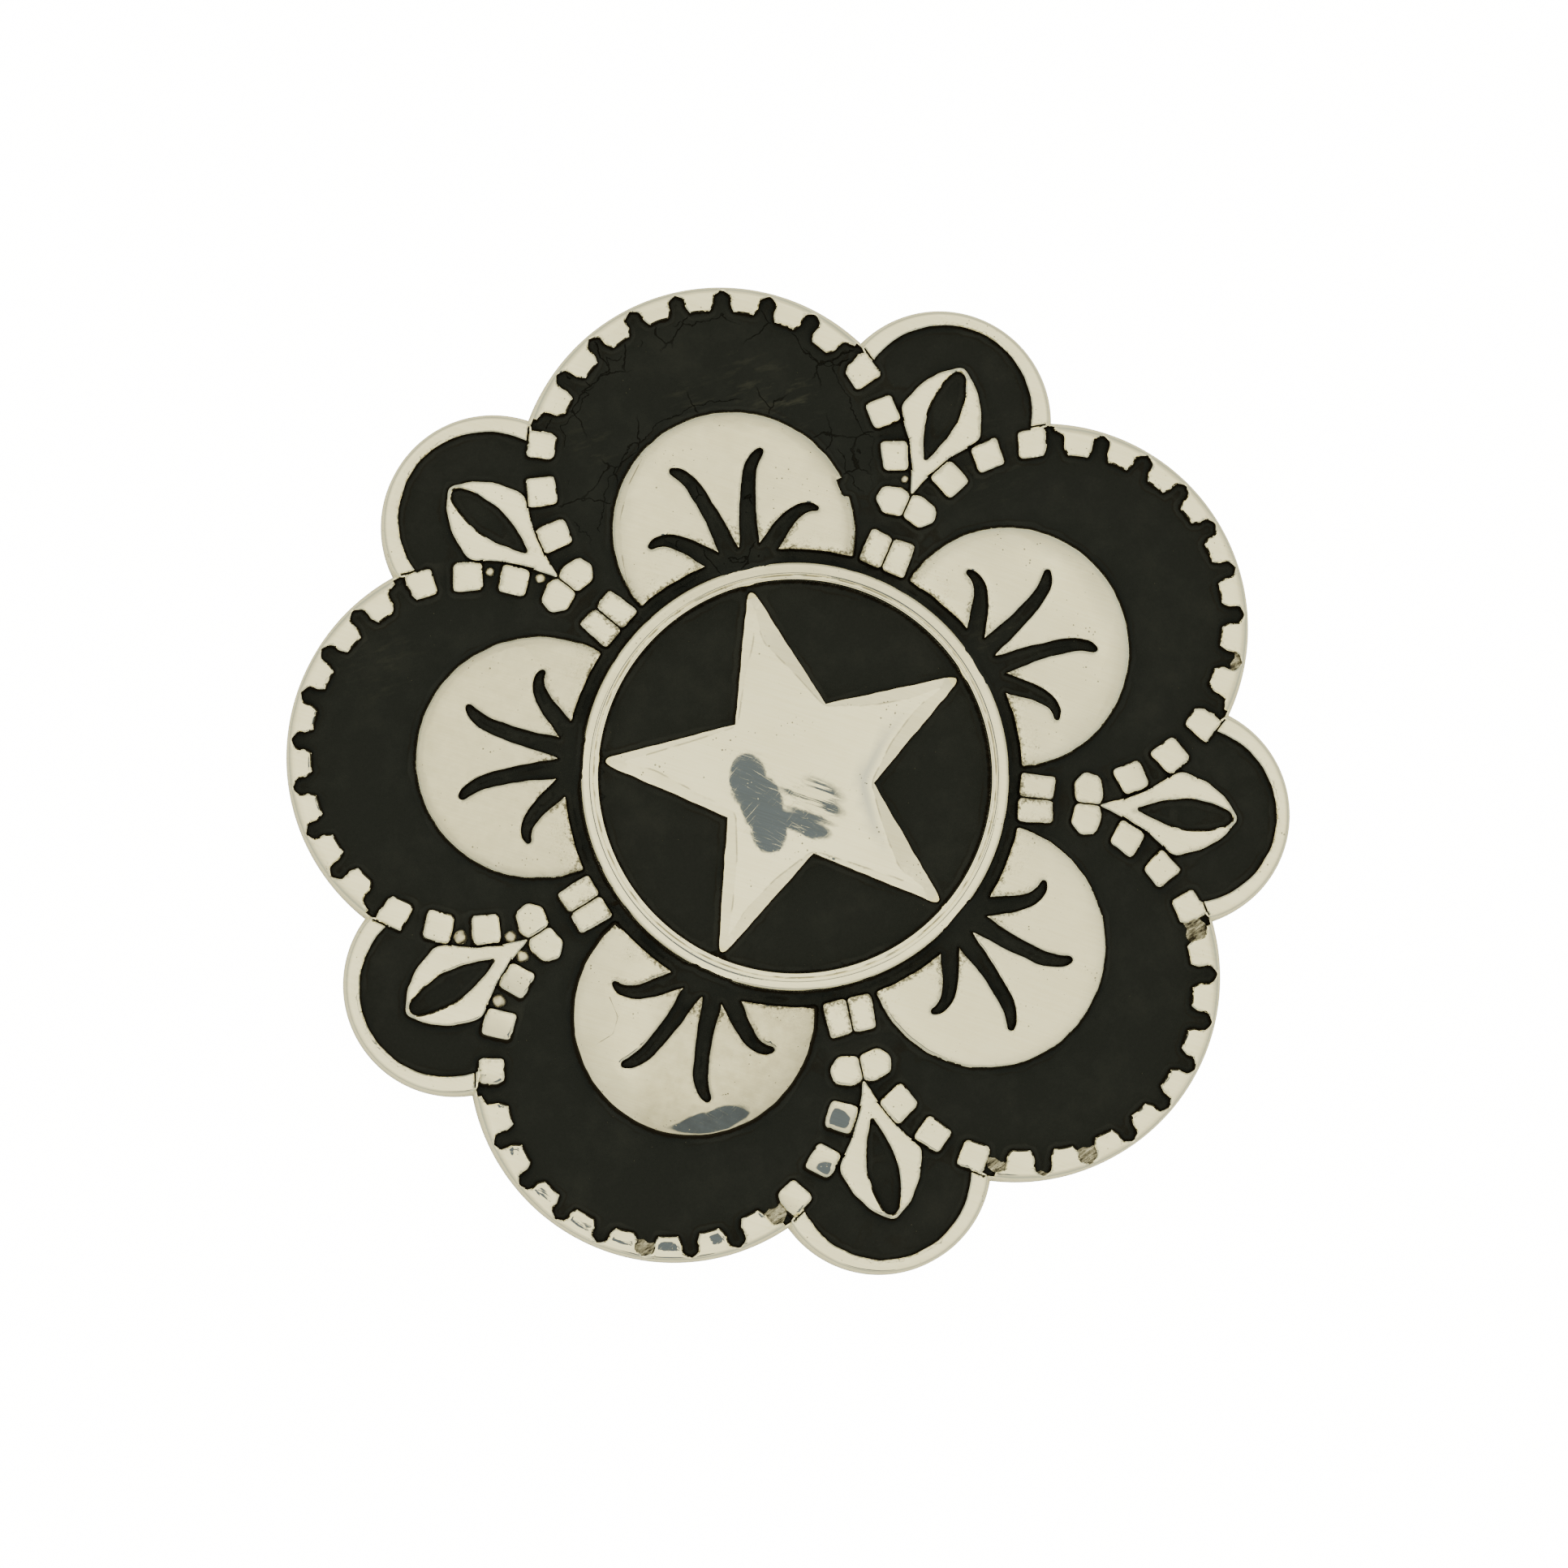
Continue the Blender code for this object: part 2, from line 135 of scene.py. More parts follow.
lobe = {
    "fieldCentre": 15.17,
    "fieldRadius": 3.33,
    "fieldEnd": 81.2,
    "rimEnd": 69.0,
    "leafTip": 17.05,
    "leafSide": [(0.75, 16.50), (1.25, 15.80), (1.62, 14.75), (1.40, 14.35), (0.90, 13.70), (0.50, 13.00),
                 (0.24, 12.30)],
    "leafFoot": 11.60,
    "slotTip": 16.86,
    "slotSide": [(0.28, 16.72), (0.52, 16.00), (0.62, 15.10), (0.50, 14.35), (0.24, 13.55)],
    "slotFoot": 13.05,
    "upperPair": [(0.035, 10.74), (0.76, 10.60), (1.20, 11.02), (1.08, 11.60), (0.40, 11.82), (0.035, 11.68)],
    "lowerPair": [(0.035, 8.55), (0.92, 8.55), (0.90, 9.20), (0.86, 9.92), (0.035, 9.86)],
    "pairCorner": 0.17,
}

# fine dark lines on two fans, each petal's own
scores = [
    [(-4.42, 8.40), (-4.33, 9.68), (-4.03, 11.12), (-3.42, 12.27), (-2.73, 13.08), (-2.29, 13.56)],
    [(-8.63, -6.45), (-8.49, -7.24), (-8.8, -7.81), (-9.5, -8.04)],
]

medallion = {
    "ringOuter": 8.08,
    "ringInner": 7.39,
    "ringEdge": 4.42,
    "ringTop": 4.76,
    "bandShare": 0.70,  # the wide band's share of the ring, then a groove and a thin lip
    "grooveShare": 0.76,
    "grooveDepth": 0.07,
    "lipDrop": 0.05,
    "squareness": 5.0,  # how flat the band is on top
    "bandFall": 0.042,
    "starTip": 7.00,
    "starBlunt": 0.50,
    "starValley": 2.97,
    "starTop": 4.90,
    "starCurve": 1.4,  # the top leans outward by this many degrees for each millimetre
    "starCurveEnd": 3.8,  # from here on an arm falls straight to its tip
    "starRipple": 0.12,
    "flankSlope": 0.35,
    "tipRounding": 0.75,
    "ridgeTip": 0.42,  # the ridge ends this far from a tip
    "ridgeShares": (0.33, 0.66),  # where along an arm its flanks' widths are given
    "ridgeRounding": 0.30,
    # painted shade: a greyer band inside the ridge on both sides of one valley
    "shadeBearing": 108.0,
    "shadeReach": 38.0,
    "shadePlace": 0.34,
    "shadeWidth": 0.32,
    "valleyFlank": [0.12, 0.10, 0.10, 0.34, 0.10],  # clockwise from the valley right of the top arm
    # widths of the two flanks of each arm
    "leftFlanks": [(0.12, 0.28), (0.37, 0.38), (0.48, 0.68), (0.36, 0.40), (0.33, 0.42)],
    "rightFlanks": [(0.33, 0.64), (0.42, 0.46), (0.15, 0.20), (0.40, 0.30), (0.14, 0.16)],
}

# rounding of each kind of raised shape: width and drop of its shoulder, width and drop of its crown
pillows = {
    "rim": (0.09, 0.06, 0.40, 0.0),
    "block": (0.10, 0.06, 0.40, 0.0),
    "fan": (0.06, 0.04, 0.40, 0.012),
    "leaf": (0.07, 0.05, 0.40, 0.015),
    "crescent": (0.07, 0.05, 0.30, 0.0),
}
kinds = ["ground", *pillows, "star", "ring"]  # and after them the bare slots
# how the teeth are worn, petal by petal
wear = {
    "crown": [0.06, 0.08, 0.06, 0.17, 0.09],  # radians for each millimetre
    "middle": [0.0, 0.0, 0.0, 0.84, 0.0],  # how far out the middle of a rim tooth lies
    "aside": [0.0, 0.0, 0.0, 0.80, 0.0],  # how far aside the middle of a loose block lies
    "rimShares": (0.4, 1.25),  # across and along a tooth
    "blockShares": (1.5, 1.25),
    "lean": 0.03,  # radians
    "fade": 0.3,  # the wear fades out over this distance where the edge belongs to a lobe
    "innermost": 12.08,  # blocks nearer the middle than this belong to the lobes and aren't worn
}

meshing = {
    "merge": 0.02,
    "sample": 0.03,
    "onEdge": 0.004,
    "edgeRows": [0.03, 0.06, 0.095, 0.175, 0.225, 0.29, 0.37, 0.47],
    "innerRows": [0.60, 0.85],
    "innerStep": 0.28,
    "ridgeRows": [0.87, 0.91, 0.95, 0.985, 1.015],
    "ridgeStep": 0.2,
    "scoreStep": 0.12,
    "highRows": [0.05, 0.12, 0.21, 0.34],
    "lowRows": [0.10, 0.26],
    # how clear of borders and of each other the points of a row stay, as shares of its distance
    "rowClear": 0.93,
    "rowSpacing": 0.55,
    "closest": 0.06,
    # how clear of borders and of each other the remaining points stay
    "innerClear": (0.06, 0.10),
    "ridgeClear": (0.08, 0.08),
    "gridClear": (0.34, 0.2),
    "grid": 0.46,
    "gridInset": 0.95,
    "waver": 0.030,  # how far a hand-cut line wanders, the size of its waves, and the share of finer ones
    "waverSize": 0.55,
    "fineWaver": 0.35,
}


def polar(radius, degrees, centre=(0.0, 0.0)):
    angle = math.radians(degrees)
    return centre[0] + radius * math.sin(angle), centre[1] + radius * math.cos(angle)


def bearing(point, centre=(0.0, 0.0)):
    return math.degrees(math.atan2(point[0] - centre[0], point[1] - centre[1]))


def turned(points, degrees):
    return [polar(math.hypot(x, y), bearing((x, y)) + degrees) for x, y in points]


def mirrored(points):
    return [(-x, y) for x, y in points]


def petalAt(x, y):
    # petals are counted clockwise from the top
    return round(bearing((x, y)) / sector) % outline["fold"]


def arcPoints(centre, radius, start, end, step):
    count = max(2, round(radius * math.radians(abs(end - start)) / step))
    return [polar(radius, start + (end - start) * i / count, centre) for i in range(count + 1)]


def circlePoints(radius, step):
    count = round(2 * math.pi * radius / step)
    return [polar(radius, 360.0 * i / count) for i in range(count)]


def crossing(centreA, radiusA, centreB, radiusB):
    # of the two crossings of two circles, the one farther from the middle
    gap = math.dist(centreA, centreB)
    along = (gap * gap + radiusA * radiusA - radiusB * radiusB) / (2 * gap)
    aside = math.sqrt(radiusA * radiusA - along * along)
    ux, uy = (centreB[0] - centreA[0]) / gap, (centreB[1] - centreA[1]) / gap
    foot = centreA[0] + along * ux, centreA[1] + along * uy
    pair = [(foot[0] - side * aside * uy, foot[1] + side * aside * ux) for side in (1, -1)]
    return max(pair, key=lambda p: math.hypot(*p))


def towards(corner, point, cut):
    # a place on the way from a corner to a point, never quite half way
    share = min(cut / max(math.dist(point, corner), 1e-6), 0.48)
    return [corner[k] + (point[k] - corner[k]) * share for k in (0, 1)]


def softened(loop, cut, turns=4):
    # every corner of a closed loop becomes a short curve
    result = []
    for i, corner in enumerate(loop):
        start, end = towards(corner, loop[i - 1], cut), towards(corner, loop[(i + 1) % len(loop)], cut)
        for j in range(turns + 1):
            t = j / turns
            a, b, c = (1 - t) ** 2, 2 * t * (1 - t), t * t
            result.append(tuple(a * start[k] + b * corner[k] + c * end[k] for k in (0, 1)))
    return result


def dense(loop, step, closed=True):
    result = []
    for a, b in zip(loop, loop[1:] + loop[:1] if closed else loop[1:]):
        count = max(1, math.ceil(math.dist(a, b) / step))
        across, along = b[0] - a[0], b[1] - a[1]
        result += [(a[0] + across * i / count, a[1] + along * i / count) for i in range(count)]
    return result if closed else result + [loop[-1]]


def handCut(loop):
    # a hand-cut line wanders a little
    result = []
    for x, y in dense(loop, outline["step"]):
        size = meshing["waverSize"]
        wide = noise.noise_vector(Vector((x / size, y / size, 0.0)))
        fine = noise.noise_vector(Vector((x * 4 / size, y * 4 / size, 5.0)))
        shift = (wide + meshing["fineWaver"] * fine) * meshing["waver"]
        result.append((x + shift.x, y + shift.y))
    return result


def silhouette(inset=0.0, step=outline["step"]):
    petal, side = (0.0, outline["petalCentre"]), polar(outline["lobeCentre"], sector / 2)
    petalRadius, lobeRadius = outline["petalRadius"] - inset, outline["lobeRadius"] - inset
    notch = crossing(petal, petalRadius, side, lobeRadius)
    petalEnd, lobeStart = bearing(notch, petal), bearing(notch, side)
    piece = arcPoints(petal, petalRadius, -petalEnd, petalEnd, step)
    piece += arcPoints(side, lobeRadius, lobeStart, sector - lobeStart, step)[1:-1]
    return [p for i in range(outline["fold"]) for p in turned(piece, i * sector)]


def folded(x, y):
    # the same place in the half sector to the right of a petal's axis
    angle = bearing((x, y)) % sector
    return polar(math.hypot(x, y), min(angle, sector - angle))


def edgeDistances(x, y):
    point = folded(x, y)
    toPetal = outline["petalRadius"] - math.dist(point, (0.0, outline["petalCentre"]))
    toLobe = outline["lobeRadius"] - math.dist(point, polar(outline["lobeCentre"], sector / 2))
    return toPetal, toLobe


def edgeDistance(x, y):
    return max(edgeDistances(x, y))


def edgeReach(degrees, inset):
    # from the middle of the tooth ring, at an angle, to the line inset inside the petal's edge
    offset = teeth["centre"] - outline["petalCentre"]
    along = offset * math.cos(math.radians(degrees))
    return math.sqrt((outline["petalRadius"] - inset) ** 2 - offset ** 2 + along ** 2) - along


def alongRay(degrees, distance, side):
    x, y = polar(distance, degrees, (0.0, teeth["centre"]))
    sx, sy = polar(side, degrees + 90.0)
    return x + sx, y + sy


def rimSector():
    end, margin = teeth["rimSlots"] * teeth["pitch"], outline["margin"] / 2
    petal = (0.0, outline["petalCentre"])
    inner = arcPoints((0.0, teeth["centre"]), teeth["inner"], -end, end, outline["arcStep"])
    outerEnd = bearing(alongRay(end, edgeReach(end, margin), 0.0), petal)
    return inner + arcPoints(petal, outline["petalRadius"] - margin, outerEnd, -outerEnd, outline["arcStep"])


def rimSlot(degrees, width, margin):
    tip, mouth = edgeReach(degrees, margin), teeth["inner"]
    width *= random.uniform(*teeth["slotWidths"])
    profile = [(mouth + distance, share) for distance, share in teeth["slotMouth"]]
    profile += [(tip + distance, share) for distance, share in teeth["slotEnd"]]
    right = [alongRay(degrees, distance, share * width) for distance, share in profile]
    left = [alongRay(degrees, distance, -share * width) for distance, share in profile[:-1]]
    return softened(left + right[::-1], 0.08)


def bareEnd(degrees, share):
    # the outer part of a slot, drawn wider than the slot so that it fills it
    tip, mouth = edgeReach(degrees, outline["margin"] / 2), teeth["inner"] + 0.10
    start, half = mouth + (tip - mouth) * share, teeth["endSlotWidth"] * 0.62
    corners = [(start, -half), (start + 0.08, -half * 0.3), (start - 0.03, half * 0.2), (start + 0.05, half),
               (tip, half), (tip, -half)]
    return [alongRay(degrees, distance, side) for distance, side in corners]


def block(degrees):
    half = teeth["blockWidth"] / 2 * random.uniform(*teeth["blockWidths"])
    low = teeth["inner"] + random.uniform(*teeth["innerShifts"])
    high = teeth["outer"] + random.uniform(*teeth["outerShifts"])
    lean = random.uniform(-teeth["blockLean"], teeth["blockLean"])
    jitter, loop = teeth["blockJitter"], []
    for distance, side in ((low, lean - half), (low, lean + half), (high, half - lean), (high, -half - lean)):
        distance += random.uniform(-jitter, jitter)
        loop.append(alongRay(degrees, distance, side + random.uniform(-jitter, jitter)))
    return softened(loop, teeth["blockCorner"], 6)


def fanDisc():
    middle = (0.0, fan["centre"])
    corner = crossing(middle, fan["radius"], (0.0, 0.0), fan["low"])
    high, low = abs(bearing(corner, middle)), abs(bearing(corner))
    top = arcPoints(middle, fan["radius"], -high, high, fan["arcStep"])
    bottom = arcPoints((0.0, 0.0), fan["low"], low, -low, fan["arcStep"])[1:-1]
    return softened(top + bottom, fan["corner"])


def stroke(line, roundness=0.45):
    # the outline of a stroke whose width changes along it
    right, left = [], []
    for i, (x, y, width) in enumerate(line):
        before, after = line[max(i - 1, 0)], line[min(i + 1, len(line) - 1)]
        length = math.dist(before[:2], after[:2])
        nx, ny = (after[1] - before[1]) / length, (before[0] - after[0]) / length
        right.append((x + nx * width / 2, y + ny * width / 2))
        left.append((x - nx * width / 2, y - ny * width / 2))
    return softened(right + left[::-1], roundness)


def crease(degrees, distance, half=0.62, width=0.07):
    # a thin cut along the outer end of a block
    ends = [alongRay(degrees, distance, -half), alongRay(degrees, distance, half)]
    return stroke([(x, y, width) for x, y in dense(ends, 0.3, False)], 0.02)


def pointed(tip, side, foot, roundness=0.25):
    return softened([(0.0, tip)] + side + [(0.0, foot)] + mirrored(side)[::-1], roundness)


def crescent():
    field = (0.0, lobe["fieldCentre"])
    end, step = lobe["rimEnd"], outline["arcStep"]
    inner = arcPoints(field, lobe["fieldRadius"], -lobe["fieldEnd"], lobe["fieldEnd"], step)
    radius = outline["lobeRadius"] - outline["margin"] / 2
    return inner + arcPoints((0.0, outline["lobeCentre"]), radius, end, -end, step)


def starOutline():
    loop, turns = [], 8
    for i in range(outline["fold"]):
        tip = polar(medallion["starTip"] + medallion["starBlunt"], i * sector)
        left = polar(medallion["starValley"], (i - 0.5) * sector)
        right = polar(medallion["starValley"], (i + 0.5) * sector)
        rounded = softened([left, tip, right], medallion["tipRounding"], turns)
        loop += rounded[turns + 1:2 * turns + 2]  # of the three corners, the tip
        loop.append(right)
    return loop


def starRidge():
    # the line where the flanks meet the top of the star
    loop = []
    for i in range(outline["fold"]):
        tip = polar(medallion["starTip"], i * sector)
        sides = [(-0.5, 1, medallion["leftFlanks"][i]), (0.5, -1, medallion["rightFlanks"][i][::-1])]
        for half, turn, widths in sides:
            valley = polar(medallion["starValley"], (i + half) * sector)
            run = (tip[0] - valley[0], tip[1] - valley[1])
            length = math.hypot(*run)
            inward = turn * run[1] / length, -turn * run[0] / length
            for share, width in zip(medallion["ridgeShares"][::turn], widths):
                loop.append(tuple(valley[k] + run[k] * share + inward[k] * width for k in (0, 1)))
            if turn > 0:
                loop.append(polar(medallion["starTip"] - medallion["ridgeTip"], i * sector))
        loop.append(polar(medallion["starValley"] - medallion["valleyFlank"][i], (i + 0.5) * sector))
    return softened(loop, medallion["ridgeRounding"], 5)


def ringShares():
    # where the rows of points lie across the ring, as shares of its width
    band, groove = medallion["bandShare"], medallion["grooveShare"]
    rows = [band * s for s in (0.04, 0.12, 0.25, 0.45, 0.65, 0.80, 0.92, 1.0)]
    lip = [groove + (1 - groove) * s for s in (0.0, 0.15, 0.4, 0.7, 0.9)]
    return rows + [(band + groove) / 2] + lip


def drawing(loops, lines=(), points=()):
    # triangles over closed loops, and for each triangle the loops that it lies in
    coords, faces, edges = [], [], []
    for loop in loops:
        area = sum(a[0] * b[1] - b[0] * a[1] for a, b in zip(loop, loop[1:] + loop[:1]))
        ring = loop if area > 0 else loop[::-1]
        faces.append(list(range(len(coords), len(coords) + len(ring))))
        coords += ring
    for line in lines:
        start = len(coords)
        coords += line
        edges += [(i, i + 1) for i in range(start, len(coords) - 1)]
    coords += list(points)
    flat, _, triangles, _, _, inside = delaunay_2d_cdt(coords, edges, faces, 0, meshing["merge"])
    return [tuple(p) for p in flat], triangles, [set(owners) for owners in inside]


def decoration():
    # name and loop of every shape: the whole, then what is raised, then what is cut out of it
    fold, pitch = outline["fold"], teeth["pitch"]
    raised, cut = [], []
    for i in range(fold):
        petals = [("rim", rimSector()), ("fan", fanDisc())]
        leaf = pointed(lobe["leafTip"], lobe["leafSide"], lobe["leafFoot"])
        lobes = [("crescent", crescent()), ("leaf", leaf)]
        for name in ("upperPair", "lowerPair"):
            sides = lobe[name], mirrored(lobe[name])
            lobes += [("block", softened(side, lobe["pairCorner"], 5)) for side in sides]
        for k in range(teeth["freeBlocks"]):
            petals += [("block", block(side * (teeth["rimSlots"] + 0.5 + k) * pitch)) for side in (1, -1)]
        slots = []
        for k in range(-teeth["rimSlots"], teeth["rimSlots"] + 1):
            width, margin = teeth["slotWidth"], outline["margin"]
            if abs(k) == teeth["rimSlots"]:
                width, margin = teeth["endSlotWidth"], teeth["endMargin"]
            slots.append(("slot", rimSlot(k * pitch, width, margin)))
        slots += [("bare", bareEnd(k * pitch, share)) for petal, k, share in teeth["bareSlots"] if petal == i]
        for name in ("longStroke", "shortStroke"):
            shape = stroke(fan[name])
            slots += [("slot", shape), ("slot", mirrored(shape))]
        slots.append(("slot", fan["hub"]))
        slots += [("slot", loop) for petal, loop in fan["nicks"] if petal == i]
        for k in range(teeth["freeBlocks"]):
            degrees = (teeth["rimSlots"] + 0.5 + k) * pitch
            distance = teeth["outer"] + teeth["creaseGap"]
            slots += [("crease", crease(side * degrees, distance)) for side in (1, -1)]
        raised += [(kind, handCut(turned(loop, i * sector))) for kind, loop in petals]
        raised += [(kind, handCut(turned(loop, (i + 0.5) * sector))) for kind, loop in lobes]
        cut += [(kind, handCut(turned(loop, i * sector))) for kind, loop in slots]
        eye = pointed(lobe["slotTip"], lobe["slotSide"], lobe["slotFoot"])
        cut.append(("slot", handCut(turned(eye, (i + 0.5) * sector))))
    raised.append(("ring", circlePoints(medallion["ringOuter"], outline["step"])))
    field = [("field", circlePoints(medallion["ringInner"], outline["step"])),
             ("star", handCut(starOutline())), ("starTop", dense(starRidge(), outline["step"]))]
    whole = [("whole", silhouette()), ("inside", silhouette(outline["margin"]))]
    return whole + raised + cut + field, len(whole), len(whole) + len(raised)


def kindOf(owners, shapes, firstRaised, firstCut):
    # what a triangle belongs to, from the shapes that it lies in
    names = {shapes[k][0] for k in owners if k >= firstCut}
    if 1 not in owners:
        return "rim"
    if "field" in names:
        return "star" if "star" in names else "ground"
    if names - {"bare"}:
        return "bare" if "bare" in names else "ground"
    above = [k for k in owners if firstRaised <= k < firstCut]
    return shapes[max(above)][0] if above else "ground"


def lineTree(lines):
    # finds the nearest of some closely spaced points on lines
    points = [p for line in lines for p in dense(line, meshing["sample"], False)]
    tree = kdtree.KDTree(len(points))
    for i, (x, y) in enumerate(points):
        tree.insert((x, y, 0.0), i)
    tree.balance()
    return tree


def distanceTo(tree, x, y):
    return tree.find((x, y, 0.0))[2]


print("drawing the face")
shapes, firstRaised, firstCut = decoration()
loops = [loop for _, loop in shapes]
ringWidth = medallion["ringOuter"] - medallion["ringInner"]
guideLines = [silhouette(inset) for inset in meshing["edgeRows"]]
ringRows = [medallion["ringOuter"] - ringWidth * share for share in ringShares()]
guideLines += [circlePoints(radius, outline["step"]) for radius in ringRows]
guideLines = [line + line[:1] for line in guideLines]
guideLines += [dense(line, meshing["scoreStep"], False) for line in scores]

flat, triangles, owners = drawing(loops)
triangleKinds = [kindOf(o, shapes, firstRaised, firstCut) for o in owners]
edgeSides = {}
for triangle, o, kind in zip(triangles, owners, triangleKinds):
    if 0 not in o:
        continue
    for a, b in zip(triangle, triangle[1:] + triangle[:1]):
        edgeSides.setdefault((min(a, b), max(a, b)), []).append((kind, (a, b)))
borders = []
for sides in edgeSides.values():
    low = [side for side in sides if side[0] in ("ground", "bare")]
    if len(sides) == 2 and len(low) == 1:
        high = [side for side in sides if side not in low][0]
        a, b = high[1]  # the raised side lies to the left of this edge
        borders.append((flat[a], flat[b]))
borders.sort(key=lambda edge: [round(value, 6) for point in edge for value in point])
borderTree = lineTree([list(edge) for edge in borders])
ridgeTree = lineTree([loops[-1] + loops[-1][:1]])
scoreTree = lineTree(scores)

taken = set()


def offer(x, y, clear, spacing):
    # keeps a point unless it crowds a border or another point
    cell = round(x / spacing), round(y / spacing)
    if cell in taken or distanceTo(borderTree, x, y) < clear:
        return []
    taken.add(cell)
    return [(x, y)]


def triangleGrid(pitch):
    # points of a grid of equal triangles over the whole face
    reach = math.ceil((outline["petalCentre"] + outline["petalRadius"]) / pitch)
    for row in range(-reach, reach + 1):
        for column in range(-reach, reach + 1):
            yield (column + 0.5 * (row % 2)) * pitch, row * pitch * math.sqrt(0.75)


extra = []
for a, b in borders:
    length = math.dist(a, b)
    nx, ny = (a[1] - b[1]) / length, (b[0] - a[0]) / length
    middle = (a[0] + b[0]) / 2, (a[1] + b[1]) / 2
    for rows, side in ((meshing["highRows"], 1), (meshing["lowRows"], -1)):
        for distance in rows:
            x, y = middle[0] + side * nx * distance, middle[1] + side * ny * distance
            radius = math.hypot(x, y)
            if medallion["ringInner"] < radius < medallion["ringOuter"]:
                continue
            if radius > medallion["ringOuter"] and edgeDistance(x, y) < outline["margin"]:
                continue
            spacing = max(meshing["closest"], distance * meshing["rowSpacing"])
            extra += offer(x, y, distance * meshing["rowClear"], spacing)
for inset in meshing["innerRows"]:
    for x, y in silhouette(inset, meshing["innerStep"]):
        extra += offer(x, y, *meshing["innerClear"])
for x, y in dense(loops[-1], meshing["ridgeStep"]):  # both sides of the star's ridge
    for scale in meshing["ridgeRows"]:
        extra += offer(x * scale, y * scale, *meshing["ridgeClear"])
for x, y in triangleGrid(meshing["grid"]):
    radius = math.hypot(x, y)
    inRing = abs(radius - medallion["ringOuter"] + ringWidth / 2) < ringWidth / 2 + 0.1
    if not inRing and (radius < medallion["ringInner"] or edgeDistance(x, y) > meshing["gridInset"]):
        extra += offer(x, y, *meshing["gridClear"])
print("rows and grid:", len(extra), "points")

flat, triangles, owners = drawing(loops, guideLines, extra)
print("face:", len(triangles), "triangles")


def clamped(value):
    return max(0.0, min(1.0, value))


def bell(radius):
    return dome["edgeHeight"] + dome["rise"] * (1 + math.cos(math.pi * radius / dome["span"])) / 2


def groundHeight(x, y):
    radius = math.hypot(x, y)
    if radius < medallion["ringOuter"] - ringWidth / 2:
        return dome["floorHeight"] + dome["floorCrown"] * (1 - (radius / medallion["ringInner"]) ** 2)
    return bell(radius)


def bulge(across, power):
    # height across a flattened round: 1 in the middle, 0 at either edge
    return (1 - min(abs(across), 1.0) ** power) ** (1 / power)


def rolled(top, x, y):
    toPetal, toLobe = edgeDistances(x, y)
    share = clamped(0.5 + (toPetal - toLobe) / outline["rollBlend"])
    onLobe, onPetal = outline["rollWidth"]
    reach = clamped(max(toPetal, toLobe) / (onLobe + (onPetal - onLobe) * share))
    return outline["sideHeight"] + (top - outline["sideHeight"]) * bulge(1 - reach, outline["rollSquareness"])


def rounding(kind, distance):
    # how much a raised shape falls away near its own edge
    shoulder, drop, crown, crownDrop = pillows[kind]
    fall = 0.0
    if distance < shoulder:
        fall += drop * (1 - math.sqrt(1 - (1 - distance / shoulder) ** 2))
    if distance < crown:
        fall += crownDrop * (1 - distance / crown) ** 2
    return fall


def toothWear(x, y, onRim):
    # each tooth and block is crowned about its own middle, and leans a little its own way
    petal, middle = petalAt(x, y), (0.0, teeth["centre"])
    place, = turned([(x, y)], -petal * sector)
    away, angle = math.dist(place, middle), bearing(place, middle)
    number = math.floor(angle / teeth["pitch"])
    u = away * math.radians(angle - (number + 0.5) * teeth["pitch"])
    across, along = wear["rimShares"] if onRim else wear["blockShares"]
    if onRim:
        v = away - wear["middle"][petal] - teeth["inner"]
    else:
        v = away - (teeth["inner"] + teeth["outer"]) / 2
        u -= math.copysign(wear["aside"][petal], angle)
    lean = noise.noise_vector(Vector((petal * 7.3, number * 1.7, 4.0))) * wear["lean"]
    return wear["crown"][petal] * (across * u * u + along * v * v) / 2 + lean.x * u + lean.y * v


def grooveMiddle():
    return medallion["ringOuter"] - ringWidth * (medallion["bandShare"] + medallion["grooveShare"]) / 2


def ringHeight(radius):
    share = (medallion["ringOuter"] - radius) / ringWidth
    band, groove = medallion["bandShare"], medallion["grooveShare"]
    edge, top = medallion["ringEdge"], medallion["ringTop"]
    if share <= band:
        low = edge if share < band / 2 else top - medallion["grooveDepth"]
        swell = bulge(share / band * 2 - 1, medallion["squareness"])
        return low + (top - low) * swell - medallion["bandFall"] * (1 - share / band) ** 2
    if share <= groove:
        return top - medallion["grooveDepth"]
    low = top - medallion["grooveDepth"] if share < (1 + groove) / 2 else edge
    return low + (top - medallion["lipDrop"] - low) * bulge((share - groove) / (1 - groove) * 2 - 1, 3.0)


def starHeight(x, y, onTop):
    radius, curve, end = math.hypot(x, y), math.radians(medallion["starCurve"]), medallion["starCurveEnd"]
    inner = min(radius, end)
    top = medallion["starTop"] - curve * inner * inner / 2 - curve * end * (radius - inner)
    return top if onTop else top - medallion["flankSlope"] * distanceTo(ridgeTree, x, y)


def rippled(x, y, layers):
    return sum(height * noise.noise(Vector((x / size, y / size, seed))) for height, size, seed in layers)


def fanDrop(x, y):
    inside = fan["radius"] - math.dist(folded(x, y), (0.0, fan["centre"]))
    width, drop = fan["rolls"][petalAt(x, y)]
    return drop * max(0.0, 1 - max(inside, 0.0) / width) ** 2


